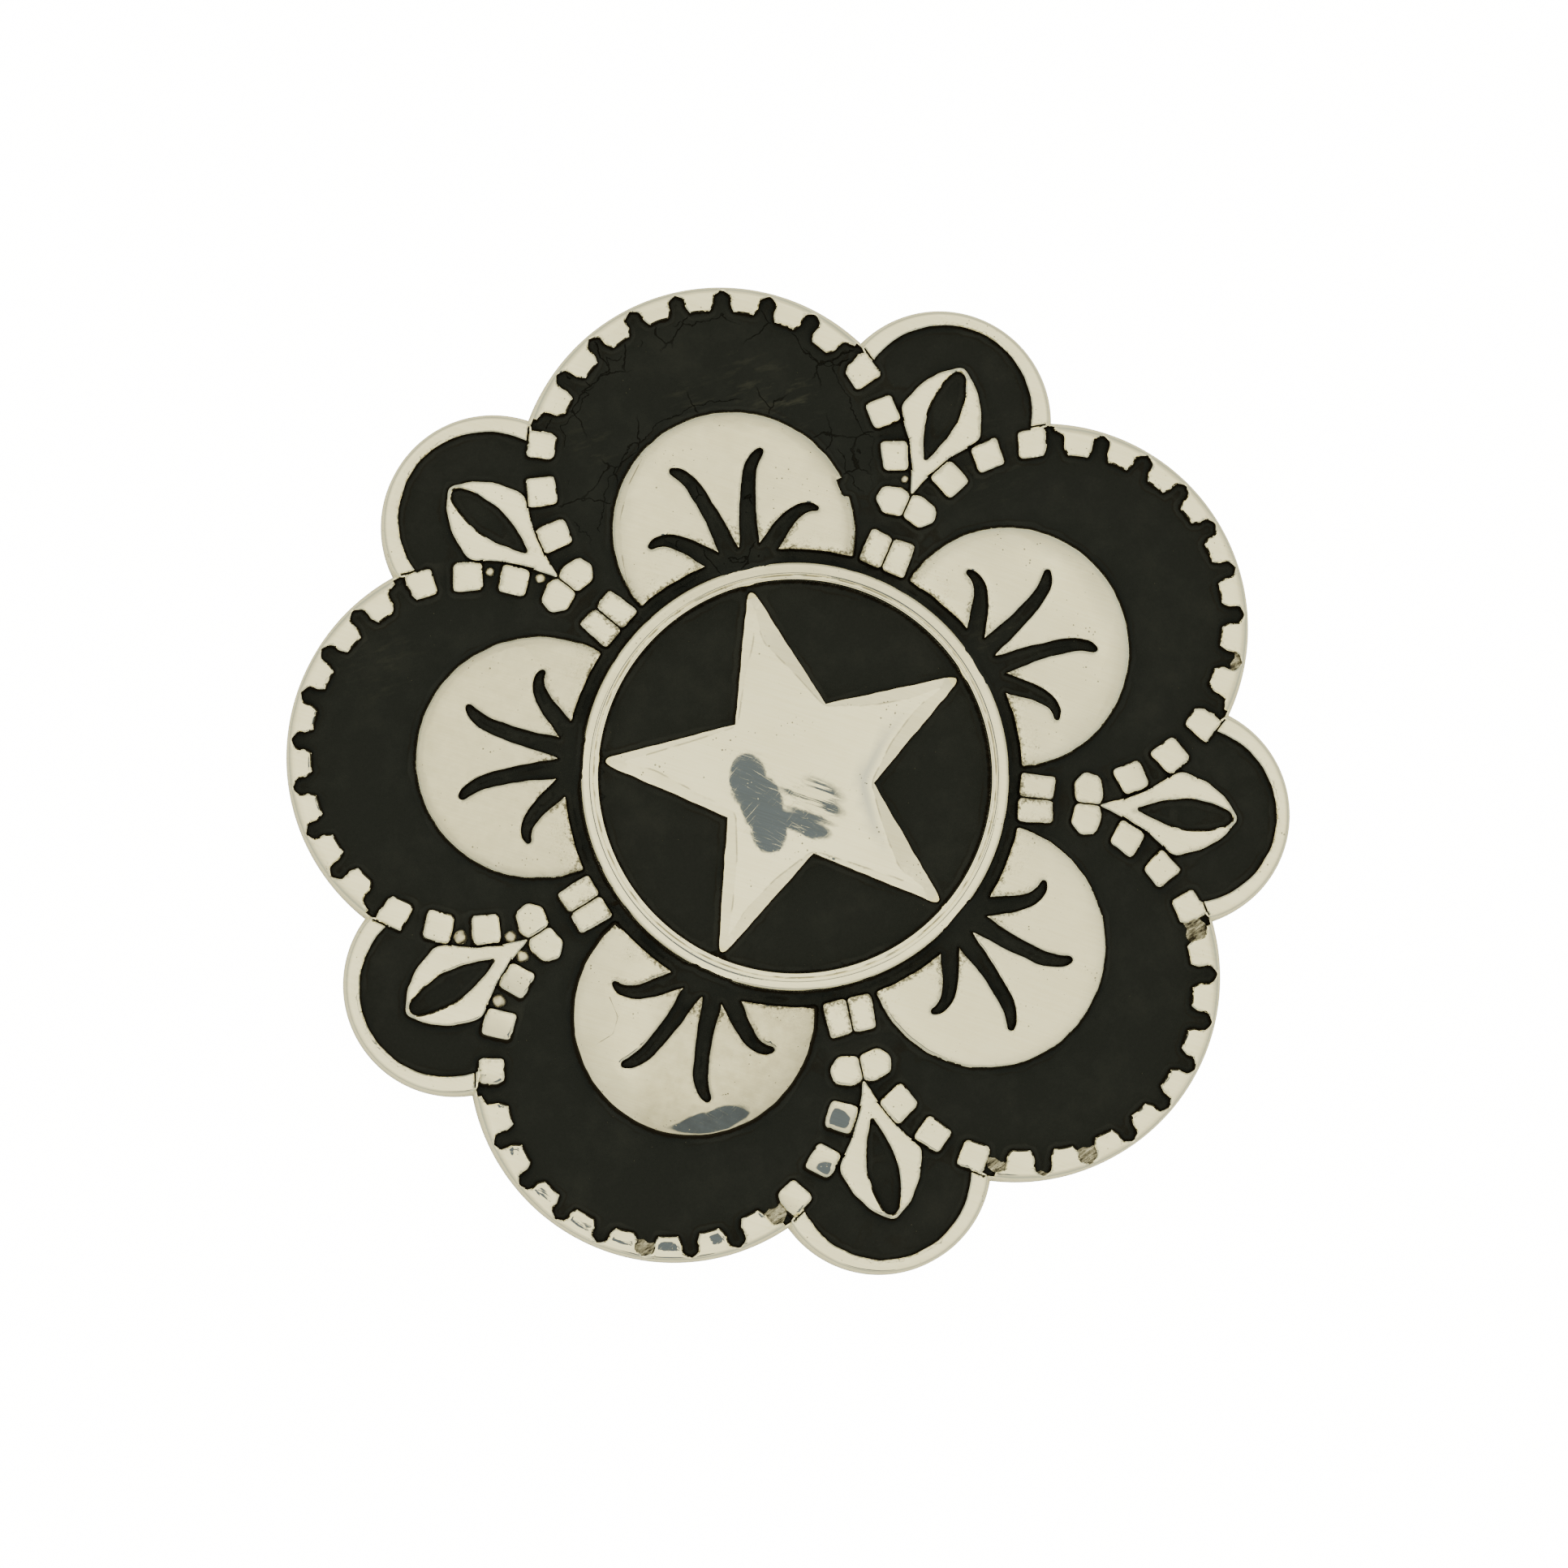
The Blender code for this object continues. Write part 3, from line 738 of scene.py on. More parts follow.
def raisedHeight(kind, x, y, distance, onTop):
    radius = math.hypot(x, y)
    if kind == "ring":
        return ringHeight(radius)
    uneven = rippled(x, y, dome["ripples"])
    if kind == "star":
        return starHeight(x, y, onTop) + uneven * medallion["starRipple"]
    top = bell(radius) + dome["relief"] + uneven - rounding(kind, distance)
    if kind == "fan":
        top -= fanDrop(x, y)
    if kind == "rim":
        toPetal, toLobe = edgeDistances(x, y)
        top -= toothWear(x, y, True) * clamped(1 + (toPetal - toLobe) / wear["fade"])
    if kind == "block" and radius > wear["innermost"]:
        top -= toothWear(x, y, False)
    return rolled(top, x, y)


def newPiece(name, points, faces, edges=()):
    mesh = bpy.data.meshes.new(name)
    mesh.from_pydata(points, list(edges), faces)
    piece = bpy.data.objects.new(name, mesh)
    bpy.context.collection.objects.link(piece)
    return piece


def selectPiece(piece):
    bpy.ops.object.select_all(action="DESELECT")
    piece.select_set(True)
    bpy.context.view_layer.objects.active = piece


def editWhole(piece):
    selectPiece(piece)
    bpy.ops.object.mode_set(mode="EDIT")
    bpy.ops.mesh.select_all(action="SELECT")


def pick(piece, chosen):
    # opens a piece for editing with only the chosen faces selected
    selectPiece(piece)
    bpy.ops.object.mode_set(mode="EDIT")
    bpy.ops.mesh.select_mode(type="FACE")
    bpy.ops.mesh.select_all(action="DESELECT")
    bpy.ops.object.mode_set(mode="OBJECT")
    for polygon in piece.data.polygons:
        polygon.select = bool(chosen(polygon))
    bpy.ops.object.mode_set(mode="EDIT")


def extrudeUp(piece, chosen):
    # extrudes the chosen faces on the spot and marks the new points as lifted
    pick(piece, chosen)
    bpy.ops.mesh.extrude_region()
    bpy.ops.object.mode_set(mode="OBJECT")
    return [vertex.index for vertex in piece.data.vertices if vertex.select]


def faceValues(piece, name, values):
    piece.data.attributes.new(name, "INT", "FACE").data.foreach_set("value", values)


# the casting's decorated side
print("raising the decoration")
kept = [(t, kindOf(o, shapes, firstRaised, firstCut), o) for t, o in zip(triangles, owners) if 0 in o]
topIndex = len(shapes) - 1
casting = newPiece("casting", [(x, y, 0.0) for x, y in flat], [t for t, _, _ in kept])
faceValues(casting, "kind", [(kinds + ["bare"]).index(kind) for _, kind, _ in kept])
faceValues(casting, "onTop", [int(topIndex in o) for _, _, o in kept])
isHigh = [0 < v.value < len(kinds) for v in casting.data.attributes["kind"].data]
lifted = set(extrudeUp(casting, lambda p: isHigh[p.index]))

mesh = casting.data
kindLayer, topLayer = mesh.attributes["kind"].data, mesh.attributes["onTop"].data
pointKind, pointTop = {}, {}
for polygon in mesh.polygons:
    corners = list(polygon.vertices)
    if kindLayer[polygon.index].value and all(v in lifted for v in corners):
        for v in corners:
            pointKind[v] = max(pointKind.get(v, 0), kindLayer[polygon.index].value)
            pointTop[v] = pointTop.get(v, 0) or topLayer[polygon.index].value
edgeValues = []
for vertex in mesh.vertices:
    x, y, _ = vertex.co
    distance = distanceTo(borderTree, x, y)
    distance = 0.0 if distance < meshing["sample"] * 0.6 else distance  # on the border itself
    edgeValues.append(distance)
    if vertex.index in lifted:
        vertex.co.z = raisedHeight(kinds[pointKind[vertex.index]], x, y, distance, pointTop[vertex.index])
    elif edgeDistance(x, y) < meshing["onEdge"] and math.hypot(x, y) > medallion["ringOuter"]:
        vertex.co.z = outline["footHeight"]
    else:
        vertex.co.z = groundHeight(x, y) - dome["fillDepth"]


def pointValues(piece, name, values):
    piece.data.attributes.new(name, "FLOAT", "POINT").data.foreach_set("value", values)


# dark fine lines: painted shade along the star's ridge, and dark lines along the ring's groove and on two
# fans; grime against edges; and painted shade on the fans and on the upper part of the ring
fineLines = {"ridgeEnd": 5.7, "ridgeFaintness": 0.016, "ridgeSpread": 0.20}
grimy = {"block": 0.14, "leaf": 0.14, "others": 0.10, "inside": 0.6, "insideUpTo": 10.4, "blend": 1.8}
# painted shade on the fans and on the upper part of the ring
fanAndRingShading = {
    "fans": [0.22, 0.0, 0.08, 0.20, 0.34],
    "ring": 0.30,
    "ringBearing": 15.0,
    "facetPetal": 3,
    "facetLine": [(-6.47, -6.0), (-7.78, -9.1)],
    "facet": 0.36,
    "facetBlend": 0.9,
}


def lineDistance(kind, x, y):
    # how far a point is from the star's ridge, the ring's groove or a score
    # painted shade: a dark line along the star's ridge
    if kind == "star" and math.hypot(x, y) < fineLines["ridgeEnd"]:
        return fineLines["ridgeFaintness"] + fineLines["ridgeSpread"] * distanceTo(ridgeTree, x, y)
    if kind == "ring":
        return abs(math.hypot(x, y) - grooveMiddle())
    return distanceTo(scoreTree, x, y) if kind == "fan" else 1.0


def soiling(kind, x, y):
    # how much grime an edge keeps: none on the medallion, most beside it
    if kind in ("star", "ring"):
        return 0.0
    inner = clamped((grimy["insideUpTo"] - math.hypot(x, y)) / grimy["blend"])
    return grimy.get(kind, grimy["others"]) * (1 - inner) + grimy["inside"] * inner


def fanAndRingShade(kind, x, y):
    # painted shade: how much darker and warmer the silver is, fan by fan, and along the upper part of the
    # ring
    if kind == "ring":
        return fanAndRingShading["ring"] * max(0.0, math.cos(math.radians(bearing((x, y)) - fanAndRingShading["ringBearing"])))
    if kind != "fan":
        return 0.0
    value = fanAndRingShading["fans"][petalAt(x, y)]
    if petalAt(x, y) == fanAndRingShading["facetPetal"]:  # painted shade: one side of this fan darker than the other
        (x0, y0), (x1, y1) = fanAndRingShading["facetLine"]
        aside = ((x - x0) * (y1 - y0) - (y - y0) * (x1 - x0)) / math.dist((x0, y0), (x1, y1))
        value += fanAndRingShading["facet"] * clamped(0.5 - aside / fanAndRingShading["facetBlend"])
    return value


def paintedRidgeShade(kind, x, y):
    # painted shade: a greyer tone inside the star's ridge
    if kind != "star":
        return 0.0
    side = (bearing((x, y)) - medallion["shadeBearing"] + 180.0) % 360.0 - 180.0
    along = max(0.0, 1 - (side / medallion["shadeReach"]) ** 4)
    across = (distanceTo(ridgeTree, x, y) - medallion["shadePlace"]) / medallion["shadeWidth"]
    return along * max(0.0, 1 - across ** 2) ** 2


pointValues(casting, "edgeDistance", edgeValues)
places = [(kinds[pointKind.get(v.index, 0)], v.co.x, v.co.y) for v in mesh.vertices]
# painted shade inside the star's ridge, on its top only
paintedRidgeShading = [paintedRidgeShade(*place) if pointTop.get(i) else 0.0 for i, place in enumerate(places)]
# painted shade on the fans and on the upper part of the ring
pointValues(casting, "fanAndRingShade", [fanAndRingShade(*place) for place in places])
pointValues(casting, "paintedRidgeShade", paintedRidgeShading)
pointValues(casting, "lineDistance", [lineDistance(*place) for place in places])
pointValues(casting, "soiling", [soiling(*place) for place in places])

# bare slots rise part of the way, rough as cast
for polygon in mesh.polygons:
    if kindLayer[polygon.index].value == len(kinds):
        for v in polygon.vertices:
            vertex = mesh.vertices[v]
            if v not in lifted and vertex.co.z < groundHeight(*vertex.co.xy) + 0.01:
                x, y = vertex.co.xy
                vertex.co.z = groundHeight(x, y) + teeth["bareRise"] + rippled(x, y, teeth["bareRipples"])
                vertex.co.z = min(vertex.co.z, rolled(vertex.co.z, x, y))

# the back: a flat rim, a hollow that follows the dome, closed against the side
backSizes = {
    "rim": 1.30,
    "step": 0.25,
    "wall": 1.05,
    "blend": 0.18,
    "rows": [0.5, 0.9, 1.42, 1.56],
    "rowStep": 0.3,
    "grid": 0.75,
    "gridInset": 2.1,
    "middle": 8.0,
}
print("closing the back")


def hollowHeight(x, y):
    # the ceiling runs into the flat step along a soft fillet
    ceiling = groundHeight(x, y) - backSizes["wall"]
    gap, blend = ceiling - backSizes["step"], backSizes["blend"]
    return backSizes["step"] + (gap + math.hypot(gap, blend)) / 2


foot = []
for x, y in silhouette():
    sectors = bearing((x, y)) / sector
    circles = [(polar(outline["lobeCentre"], (math.floor(sectors) + 0.5) * sector), outline["lobeRadius"]),
               (polar(outline["petalCentre"], round(sectors) * sector), outline["petalRadius"])]
    middle, _ = min(circles, key=lambda circle: abs(math.dist((x, y), circle[0]) - circle[1]))
    away = math.dist((x, y), middle)
    share = (away - outline["footInset"]) / away
    foot.append((middle[0] + (x - middle[0]) * share, middle[1] + (y - middle[1]) * share))
backLoops = [foot, silhouette(backSizes["rim"], backSizes["rowStep"])]
backLines = [silhouette(inset, backSizes["rowStep"]) for inset in backSizes["rows"]]
backGrid = [(x, y) for x, y in triangleGrid(backSizes["grid"])
            if edgeDistance(x, y) > backSizes["gridInset"] or math.hypot(x, y) < backSizes["middle"]]
flatBack, backTriangles, backOwners = drawing(backLoops, [line + line[:1] for line in backLines], backGrid)
keptBack = [(t[::-1], 1 in o) for t, o in zip(backTriangles, backOwners) if 0 in o]
back = newPiece("castingBack", [(x, y, 0.0) for x, y in flatBack], [t for t, _ in keptBack])
inHollow = [hollow for _, hollow in keptBack]
for v in extrudeUp(back, lambda p: inHollow[p.index]):
    x, y, _ = back.data.vertices[v].co
    back.data.vertices[v].co.z = hollowHeight(x, y)

# the black is the low ground lifted off as a skin of its own
fillSizes = {
    "climb": 0.27,
    "climbInside": 0.12,
    "creep": 0.32,
    "thickness": 0.10,
    "ripples": [(0.012, 1.3, 21.0), (0.006, 0.4, 22.0)],
    # round areas: middle, radius, strength
    "scuffing": [(3.4, 14.0, 1.3, 0.8), (2.1, 14.95, 1.3, 0.6), (-0.3, 14.9, 1.2, 0.5),
                 (-4.3, 14.2, 1.0, 0.4), (9.9, 10.2, 2.2, 0.3), (8.9, 3.8, 1.2, 0.6),
                 (-14.2, 8.1, 2.0, 0.25)],
    "cracking": [(0.0, 14.0, 6.5, 1.0)],
}
print("laying the black")
lowFaces = [kindLayer[p.index].value == 0 for p in mesh.polygons]
lowCorner = [all(v not in lifted for v in p.vertices) for p in mesh.polygons]
pick(casting, lambda p: lowFaces[p.index] and lowCorner[p.index])
bpy.ops.mesh.duplicate()
bpy.ops.mesh.separate(type="SELECTED")
bpy.ops.object.mode_set(mode="OBJECT")
blackFill = [o for o in bpy.context.selected_objects if o != casting][0]
blackFill.name = "black_fill"
fillEdges = blackFill.data.attributes["edgeDistance"].data
for vertex, edge in zip(blackFill.data.vertices, fillEdges):
    x, y, _ = vertex.co
    creep = max(0.0, 1 - edge.value / fillSizes["creep"])
    climb = fillSizes["climb" if math.hypot(x, y) > medallion["ringInner"] else "climbInside"]
    vertex.co.z = groundHeight(x, y) + climb * creep ** 3 + rippled(x, y, fillSizes["ripples"])


def inSpot(x, y, spots):
    # the strongest of some soft round spots: across, along, radius, strength
    shares = [(power, 1 - math.dist((x, y), middle) / size) for *middle, size, power in spots]
    return max(power * max(0.0, share) ** 0.5 for power, share in shares)


for name in ("scuffing", "cracking"):
    pointValues(blackFill, name, [inSpot(v.co.x, v.co.y, fillSizes[name]) for v in blackFill.data.vertices])


def finishMesh(piece, degrees=40.0):
    # turns the piece the right way out, smooths it and brings it to metres
    editWhole(piece)
    bpy.ops.mesh.normals_make_consistent(inside=False)
    bpy.ops.object.mode_set(mode="OBJECT")
    bpy.ops.object.shade_smooth_by_angle(angle=math.radians(degrees))
    piece.data.transform(Matrix.Scale(millimetre, 4))
    piece.data.update()


def applyModifier(piece, kind, **settings):
    bpy.context.view_layer.objects.active = piece
    modifier = piece.modifiers.new(kind.lower(), kind)
    for name, value in settings.items():
        setattr(modifier, name, value)
    bpy.ops.object.modifier_apply(modifier=modifier.name)


applyModifier(blackFill, "SOLIDIFY", thickness=fillSizes["thickness"], offset=-1.0)
finishMesh(blackFill)

# the side and the back become one closed shell with the face
selectPiece(casting)
back.select_set(True)
bpy.ops.object.join()
bpy.ops.object.mode_set(mode="EDIT")
bpy.ops.mesh.select_mode(type="EDGE")
bpy.ops.mesh.select_all(action="DESELECT")
bpy.ops.mesh.select_non_manifold(extend=False, use_wire=False, use_multi_face=False, use_non_contiguous=False,
                                 use_verts=False)
bpy.ops.mesh.bridge_edge_loops()
bpy.ops.object.mode_set(mode="OBJECT")
finishMesh(casting)
topEdges = {}
for polygon, top in zip(casting.data.polygons, casting.data.attributes["onTop"].data):
    for key in polygon.edge_keys if top.value else ():
        topEdges[key] = topEdges.get(key, 0) + 1
for edge in casting.data.edges:  # the star's ridge stays crisp
    edge.use_edge_sharp = edge.use_edge_sharp or topEdges.get(edge.key) == 1
print("casting:", len(casting.data.polygons), "faces, black:", len(blackFill.data.polygons))

# the boss that takes the screw, turned from its profile
boss = {
    "profile": [(0.0, 2.80), (1.60, 2.80), (1.75, 2.65), (1.75, 0.55), (2.00, 0.30), (3.22, 0.30),
                (3.40, 0.48), (3.40, 2.10), (3.48, 2.50), (3.70, 2.80), (4.10, 3.00), (4.10, 3.25),
                (0.0, 3.25)],
    "steps": 96,
    # the thread: its ridge in section, and how it winds
    "threadProfile": [(1.82, 0.62), (1.57, 0.77), (1.82, 0.98)],
    "threadPitch": 0.79,
    "threadTurns": 2.5,
    "threadSteps": 48,
}
print("turning the boss")
profile = [(x, 0.0, z) for x, z in boss["profile"]]
screwBoss = newPiece("screw_boss", profile, [], [(i, i + 1) for i in range(len(profile) - 1)])
editWhole(screwBoss)
bpy.ops.mesh.spin(steps=boss["steps"], angle=math.tau, center=(0, 0, 0), axis=(0, 0, 1))
bpy.ops.mesh.select_all(action="SELECT")
bpy.ops.mesh.remove_doubles(threshold=0.001)
bpy.ops.object.mode_set(mode="OBJECT")
thread = newPiece("thread", [(x, 0.0, z) for x, z in boss["threadProfile"]], [])
editWhole(thread)
bpy.ops.mesh.edge_face_add()
bpy.ops.mesh.delete(type="ONLY_FACE")
bpy.ops.object.mode_set(mode="OBJECT")
turns, steps = boss["threadTurns"], int(boss["threadSteps"] * boss["threadTurns"])
applyModifier(thread, "SCREW", angle=math.tau * turns, screw_offset=boss["threadPitch"] * turns, steps=steps,
              render_steps=steps, use_merge_vertices=False)
editWhole(thread)
bpy.ops.mesh.fill_holes(sides=3)
bpy.ops.object.mode_set(mode="OBJECT")
finishMesh(thread)
finishMesh(screwBoss)

# shot left on the ground by the casting, each bead lumpy in its own way
beadSizes = {
    "radius": 0.27,
    "lumpFineness": 4.5,
    "lumps": 0.22,
    "flattening": 0.8,
    "rise": 0.14,
    # lobe, place across and along its axis, size
    "places": [(3, 1.40, 13.75, 1.0), (3, -1.40, 13.75, 0.95), (3, 0.42, 12.15, 0.85), (3, -0.42, 12.15, 0.9),
               (4, -1.45, 13.75, 0.6), (4, -0.42, 12.15, 0.7), (0, -0.42, 12.15, 0.55)],
}
print("adding the shot")
beads = []
for index, (place, across, along, size) in enumerate(beadSizes["places"]):
    bpy.ops.mesh.primitive_ico_sphere_add(subdivisions=3, radius=beadSizes["radius"] * size)
    bead = bpy.context.object
    (x, y), = turned([(across, along)], (place + 0.5) * sector)
    for vertex in bead.data.vertices:
        lump = noise.noise(vertex.co * beadSizes["lumpFineness"] + Vector((index * 3.1, 0, 0)))
        vertex.co = vertex.co * (1 + beadSizes["lumps"] * lump)
        vertex.co.z = vertex.co.z * beadSizes["flattening"]
        vertex.co += Vector((x, y, groundHeight(x, y) + beadSizes["rise"]))
    beads.append(bead)
bpy.ops.object.select_all(action="DESELECT")
for bead in beads:
    bead.select_set(True)
bpy.context.view_layer.objects.active = beads[0]
bpy.ops.object.join()
castingBeads = bpy.context.object
castingBeads.name = "casting_beads"
finishMesh(castingBeads, 60.0)

# materials
print("mixing the finishes")
# scratches: degrees, length and width in millimetres
scratches = {
    "ways": [(-31.0, 1.0, 0.035), (-44.0, 1.8, 0.03), (35.0, 1.2, 0.03)],
    "noise": (1.0, 2.0, 0.6),
    "cut": (0.62, 0.74),
    "patch": (2.5, 1.5),
    "patchCut": (0.40, 0.62),
}
# dull streaks to the right of the star's middle
rubbed = {
    "middle": (0.50, -0.85, 0.0),
    "size": (1.05, 0.50, 100.0),
    "degrees": -31.4,
    "streak": (2.6, 0.08),
    "noise": (1.0, 1.5),
    "closing": (0.2, 1.7, 0.24, -0.24),  # the streaks close up in the middle and thin out towards the ends
    "cut": (0.56, 0.61),
}
# noise patterns: scale, detail and roughness; the limits that the noise is cut to and spread over; and for
# streaks the degrees, length and width that it is drawn out to
patterns = {
    "grain": [(8.0, 4.0, 0.7)],
    "stipple": [(11.0, 3.0, 0.75), (0.50, 0.64)],
    "veil": [(0.9, 2.0), (0.44, 0.62)],
    "soilPatches": [(0.8, 2.0), (0.35, 0.65, 0.2, 1.0)],
    "lineBreaks": [(1.1, 2.0), (0.44, 0.54)],
    "tone": [(0.7, 3.0)],
    "brushed": [(1.0, 3.0, 0.6), (), (-31.0, 2.4, 0.06)],
    "mottle": [(2.2, 3.0, 0.55), (0.34, 0.66, 0.80, 1.20)],
    "haze": [(1.3, 3.0), (0.3, 0.7, 0.008, 0.028)],
    "orangePeel": [(3.0, 2.0)],
    "bareGrain": [(1.0, 4.0, 0.65), (), (20.0, 0.5, 0.14)],
    "backTone": [(0.35, 4.0, 0.6), (0.35, 0.68)],
    "backGrain": [(6.0, 4.0, 0.6)],
    "pitClusters": [(0.9, 2.0), (0.45, 0.70)],
    "raggedness": [(5.0, 3.0, 0.65), (0.3, 0.7, -1.0, 1.0)],
    "rimWaver": [(1.2, 3.0), (0.3, 0.7, -0.07, 0.07)],
    "rimPatches": [(0.35, 2.0), (0.42, 0.58)],
    "borderPatches": [(0.5, 2.0), (0.45, 0.60)],
    "dust": [(0.6, 5.0, 0.65), (0.46, 0.78)],
    "scuffs": [(1.0, 4.0, 0.6), (0.52, 0.68), (4.0, 0.9, 0.22)],
    "crackPath": [(0.9, 4.0, 0.6), (0.3, 0.7, 0.22, 0.62)],
    "crackBreaks": [(0.45, 2.0), (0.44, 0.50)],
    "mattGrain": [(9.0, 4.0, 0.6)],
}


def addNode(tree, kind, inputs=(), **settings):
    # a node with its settings; inputs pairs a socket with a value or with the field that feeds it
    node = tree.nodes.new(kind)
    for name, value in settings.items():
        setattr(node, name, value)
    for socket, value in inputs:
        if isinstance(value, Field):
            tree.links.new(value.socket, node.inputs[socket])
        else:
            node.inputs[socket].default_value = (*value, 1.0) if node.inputs[socket].type == "RGBA" else value
    return node


class Field:
    # a value in a node tree; reckoning with fields adds the nodes
    def __init__(self, tree, socket):
        self.tree, self.socket = tree, socket

    def through(self, kind, inputs, output=0, **settings):
        return Field(self.tree, addNode(self.tree, kind, inputs, **settings).outputs[output])

    def maths(self, operation, *others, clamp=False):
        inputs = enumerate((self, *others))
        return self.through("ShaderNodeMath", inputs, operation=operation, use_clamp=clamp)

    def __add__(self, other):
        return self.maths("ADD", other)

    def __sub__(self, other):
        return self.maths("SUBTRACT", other)

    def __mul__(self, other):
        return self.maths("MULTIPLY", other)

    def __truediv__(self, other):
        return self.maths("DIVIDE", other)

    def ranged(self, low, high, toLow=0.0, toHigh=1.0, style="LINEAR"):
        labels = "Value", "From Min", "From Max", "To Min", "To Max"
        inputs = zip(labels, (self, low, high, toLow, toHigh))
        return self.through("ShaderNodeMapRange", inputs, "Result", interpolation_type=style)

    def noise(self, scale=1.0, detail=2.0, roughness=0.5):
        inputs = [("Vector", self), ("Scale", scale), ("Detail", detail), ("Roughness", roughness)]
        return self.through("ShaderNodeTexNoise", inputs, "Fac")

    def pattern(self, name):
        shape, limits, drawn = (patterns[name] + [(), ()])[:3]
        value = (self.stretched(*drawn) if drawn else self).noise(*shape)
        return value.ranged(*limits) if limits else value

    def mapped(self, middle, size, degrees, style="TEXTURE"):
        turn = 0, 0, math.radians(degrees)
        inputs = [("Vector", self), ("Location", middle), ("Scale", size), ("Rotation", turn)]
        return self.through("ShaderNodeMapping", inputs, "Vector", vector_type=style)

    def stretched(self, degrees, length, width):
        # drawn out along one direction, in millimetres
        return self.mapped((0, 0, 0), (length, width, 1.0), degrees)

    def length(self):
        return self.through("ShaderNodeVectorMath", [(0, self)], "Value", operation="LENGTH")

    def attribute(self, name):
        return self.through("ShaderNodeAttribute", (), "Fac", attribute_name=name)

    def effect(self, group, **values):
        # a shared effect at this place
        return self.through("ShaderNodeGroup", [("Vector", self), *values.items()], "Mask", node_tree=group)

    def bump(self, distance):
        inputs = [("Height", self), ("Distance", distance), ("Strength", 1.0)]
        return self.through("ShaderNodeBump", inputs, "Normal")

    def into(self, socket):
        self.tree.links.new(self.socket, socket)


def largest(first, *others):
    for other in others:
        first = first.maths("MAXIMUM", other)
    return first


def blended(share, first, second):
    inputs = [(0, share), (6, first), (7, second)]
    return share.through("ShaderNodeMix", inputs, 2, data_type="RGBA")


def newGroup(name, *values):
    # a shared effect: takes a place and some values, gives a mask
    group = bpy.data.node_groups.new(name, "ShaderNodeTree")
    group.interface.new_socket("Vector", in_out="INPUT", socket_type="NodeSocketVector")
    for label in values:
        group.interface.new_socket(label, in_out="INPUT", socket_type="NodeSocketFloat")
    group.interface.new_socket("Mask", in_out="OUTPUT", socket_type="NodeSocketFloat")
    given = group.nodes.new("NodeGroupInput").outputs
    mask = group.nodes.new("NodeGroupOutput").inputs["Mask"]
    return [group, mask] + [Field(group, given[label]) for label in ("Vector", *values)]


def buildPolishMarks():
    # fine straight scratches that cross at three angles, thinned out by a soft mask
    group, mask, place, amount = newGroup("polishMarks", "Amount")
    sets = []
    for degrees, length, width in scratches["ways"]:
        lines = place.stretched(degrees, length, width).noise(*scratches["noise"])
        patches = place.stretched(degrees, *scratches["patch"]).noise(1.0, 1.0)
        sets.append(lines.ranged(*scratches["cut"]) * patches.ranged(*scratches["patchCut"]))
    (sets[0] + sets[1] + sets[2]).maths("MULTIPLY", amount, clamp=True).into(mask)
    return group


def buildPits():
    # small round pits in clusters
    group, mask, place, scale, amount = newGroup("castPits", "Scale", "Amount")
    away = place.through("ShaderNodeTexVoronoi", [("Vector", place), ("Scale", scale)], "Distance")
    (place.pattern("pitClusters") * amount - away).ranged(0.0, 0.08).into(mask)
    return group


def buildEdgeGrimeAndShade():
    # grime on the silver and painted shade on the black, against an edge: full at the edge, gone at its
    # reach, with a ragged border
    group, mask, place, edge, reach, ragged = newGroup("edgeGrimeAndShade", "Edge", "Reach", "Ragged")
    reach = reach * (place.pattern("raggedness") * ragged + 1.0)
    (edge / reach.maths("MAXIMUM", 0.001)).ranged(1.0, 0.45, style="SMOOTHSTEP").into(mask)
    return group


def buildCrazing():
    # hairline cracks between dried patches
    group, mask, place, scale, width = newGroup("crazing", "Scale", "Width")
    inputs = [("Vector", place), ("Scale", 1.6), ("Detail", 3.0)]
    bent = place.through("ShaderNodeTexNoise", inputs, "Color")
    push = bent.through("ShaderNodeVectorMath", [(0, bent), ("Scale", 0.55)], operation="SCALE")
    moved = place.through("ShaderNodeVectorMath", [(0, place), (1, push)], operation="ADD")
    away = moved.through("ShaderNodeTexVoronoi", [("Vector", moved), ("Scale", scale)], "Distance",
                         feature="DISTANCE_TO_EDGE")
    (away / width).ranged(1.0, 0.4).into(mask)
    return group


def buildRubbedStreaks():
    # long dull streaks side by side in one oval patch, closed in its middle and frayed at its ends
    group, mask, place = newGroup("rubbedStreaks")
    away = place.mapped(rubbed["middle"], rubbed["size"], rubbed["degrees"]).length()
    lines = place.stretched(rubbed["degrees"], *rubbed["streak"]).noise(*rubbed["noise"])
    (lines + away.ranged(*rubbed["closing"])).ranged(*rubbed["cut"]).into(mask)
    return group


polishMarks, castPits, edgeGrimeAndShade = buildPolishMarks(), buildPits(), buildEdgeGrimeAndShade()
crazing, rubbedStreaks = buildCrazing(), buildRubbedStreaks()


def newMaterial(name):
    # the material, its shader's sockets, and the place on the piece in millimetres
    material = bpy.data.materials.new(name)
    material.use_nodes = True
    tree = material.node_tree
    metres = Field(tree, addNode(tree, "ShaderNodeTexCoord").outputs["Object"])
    place = metres.mapped((0, 0, 0), (1000.0, 1000.0, 1000.0), 0.0, "POINT")
    return material, tree.nodes["Principled BSDF"].inputs, place


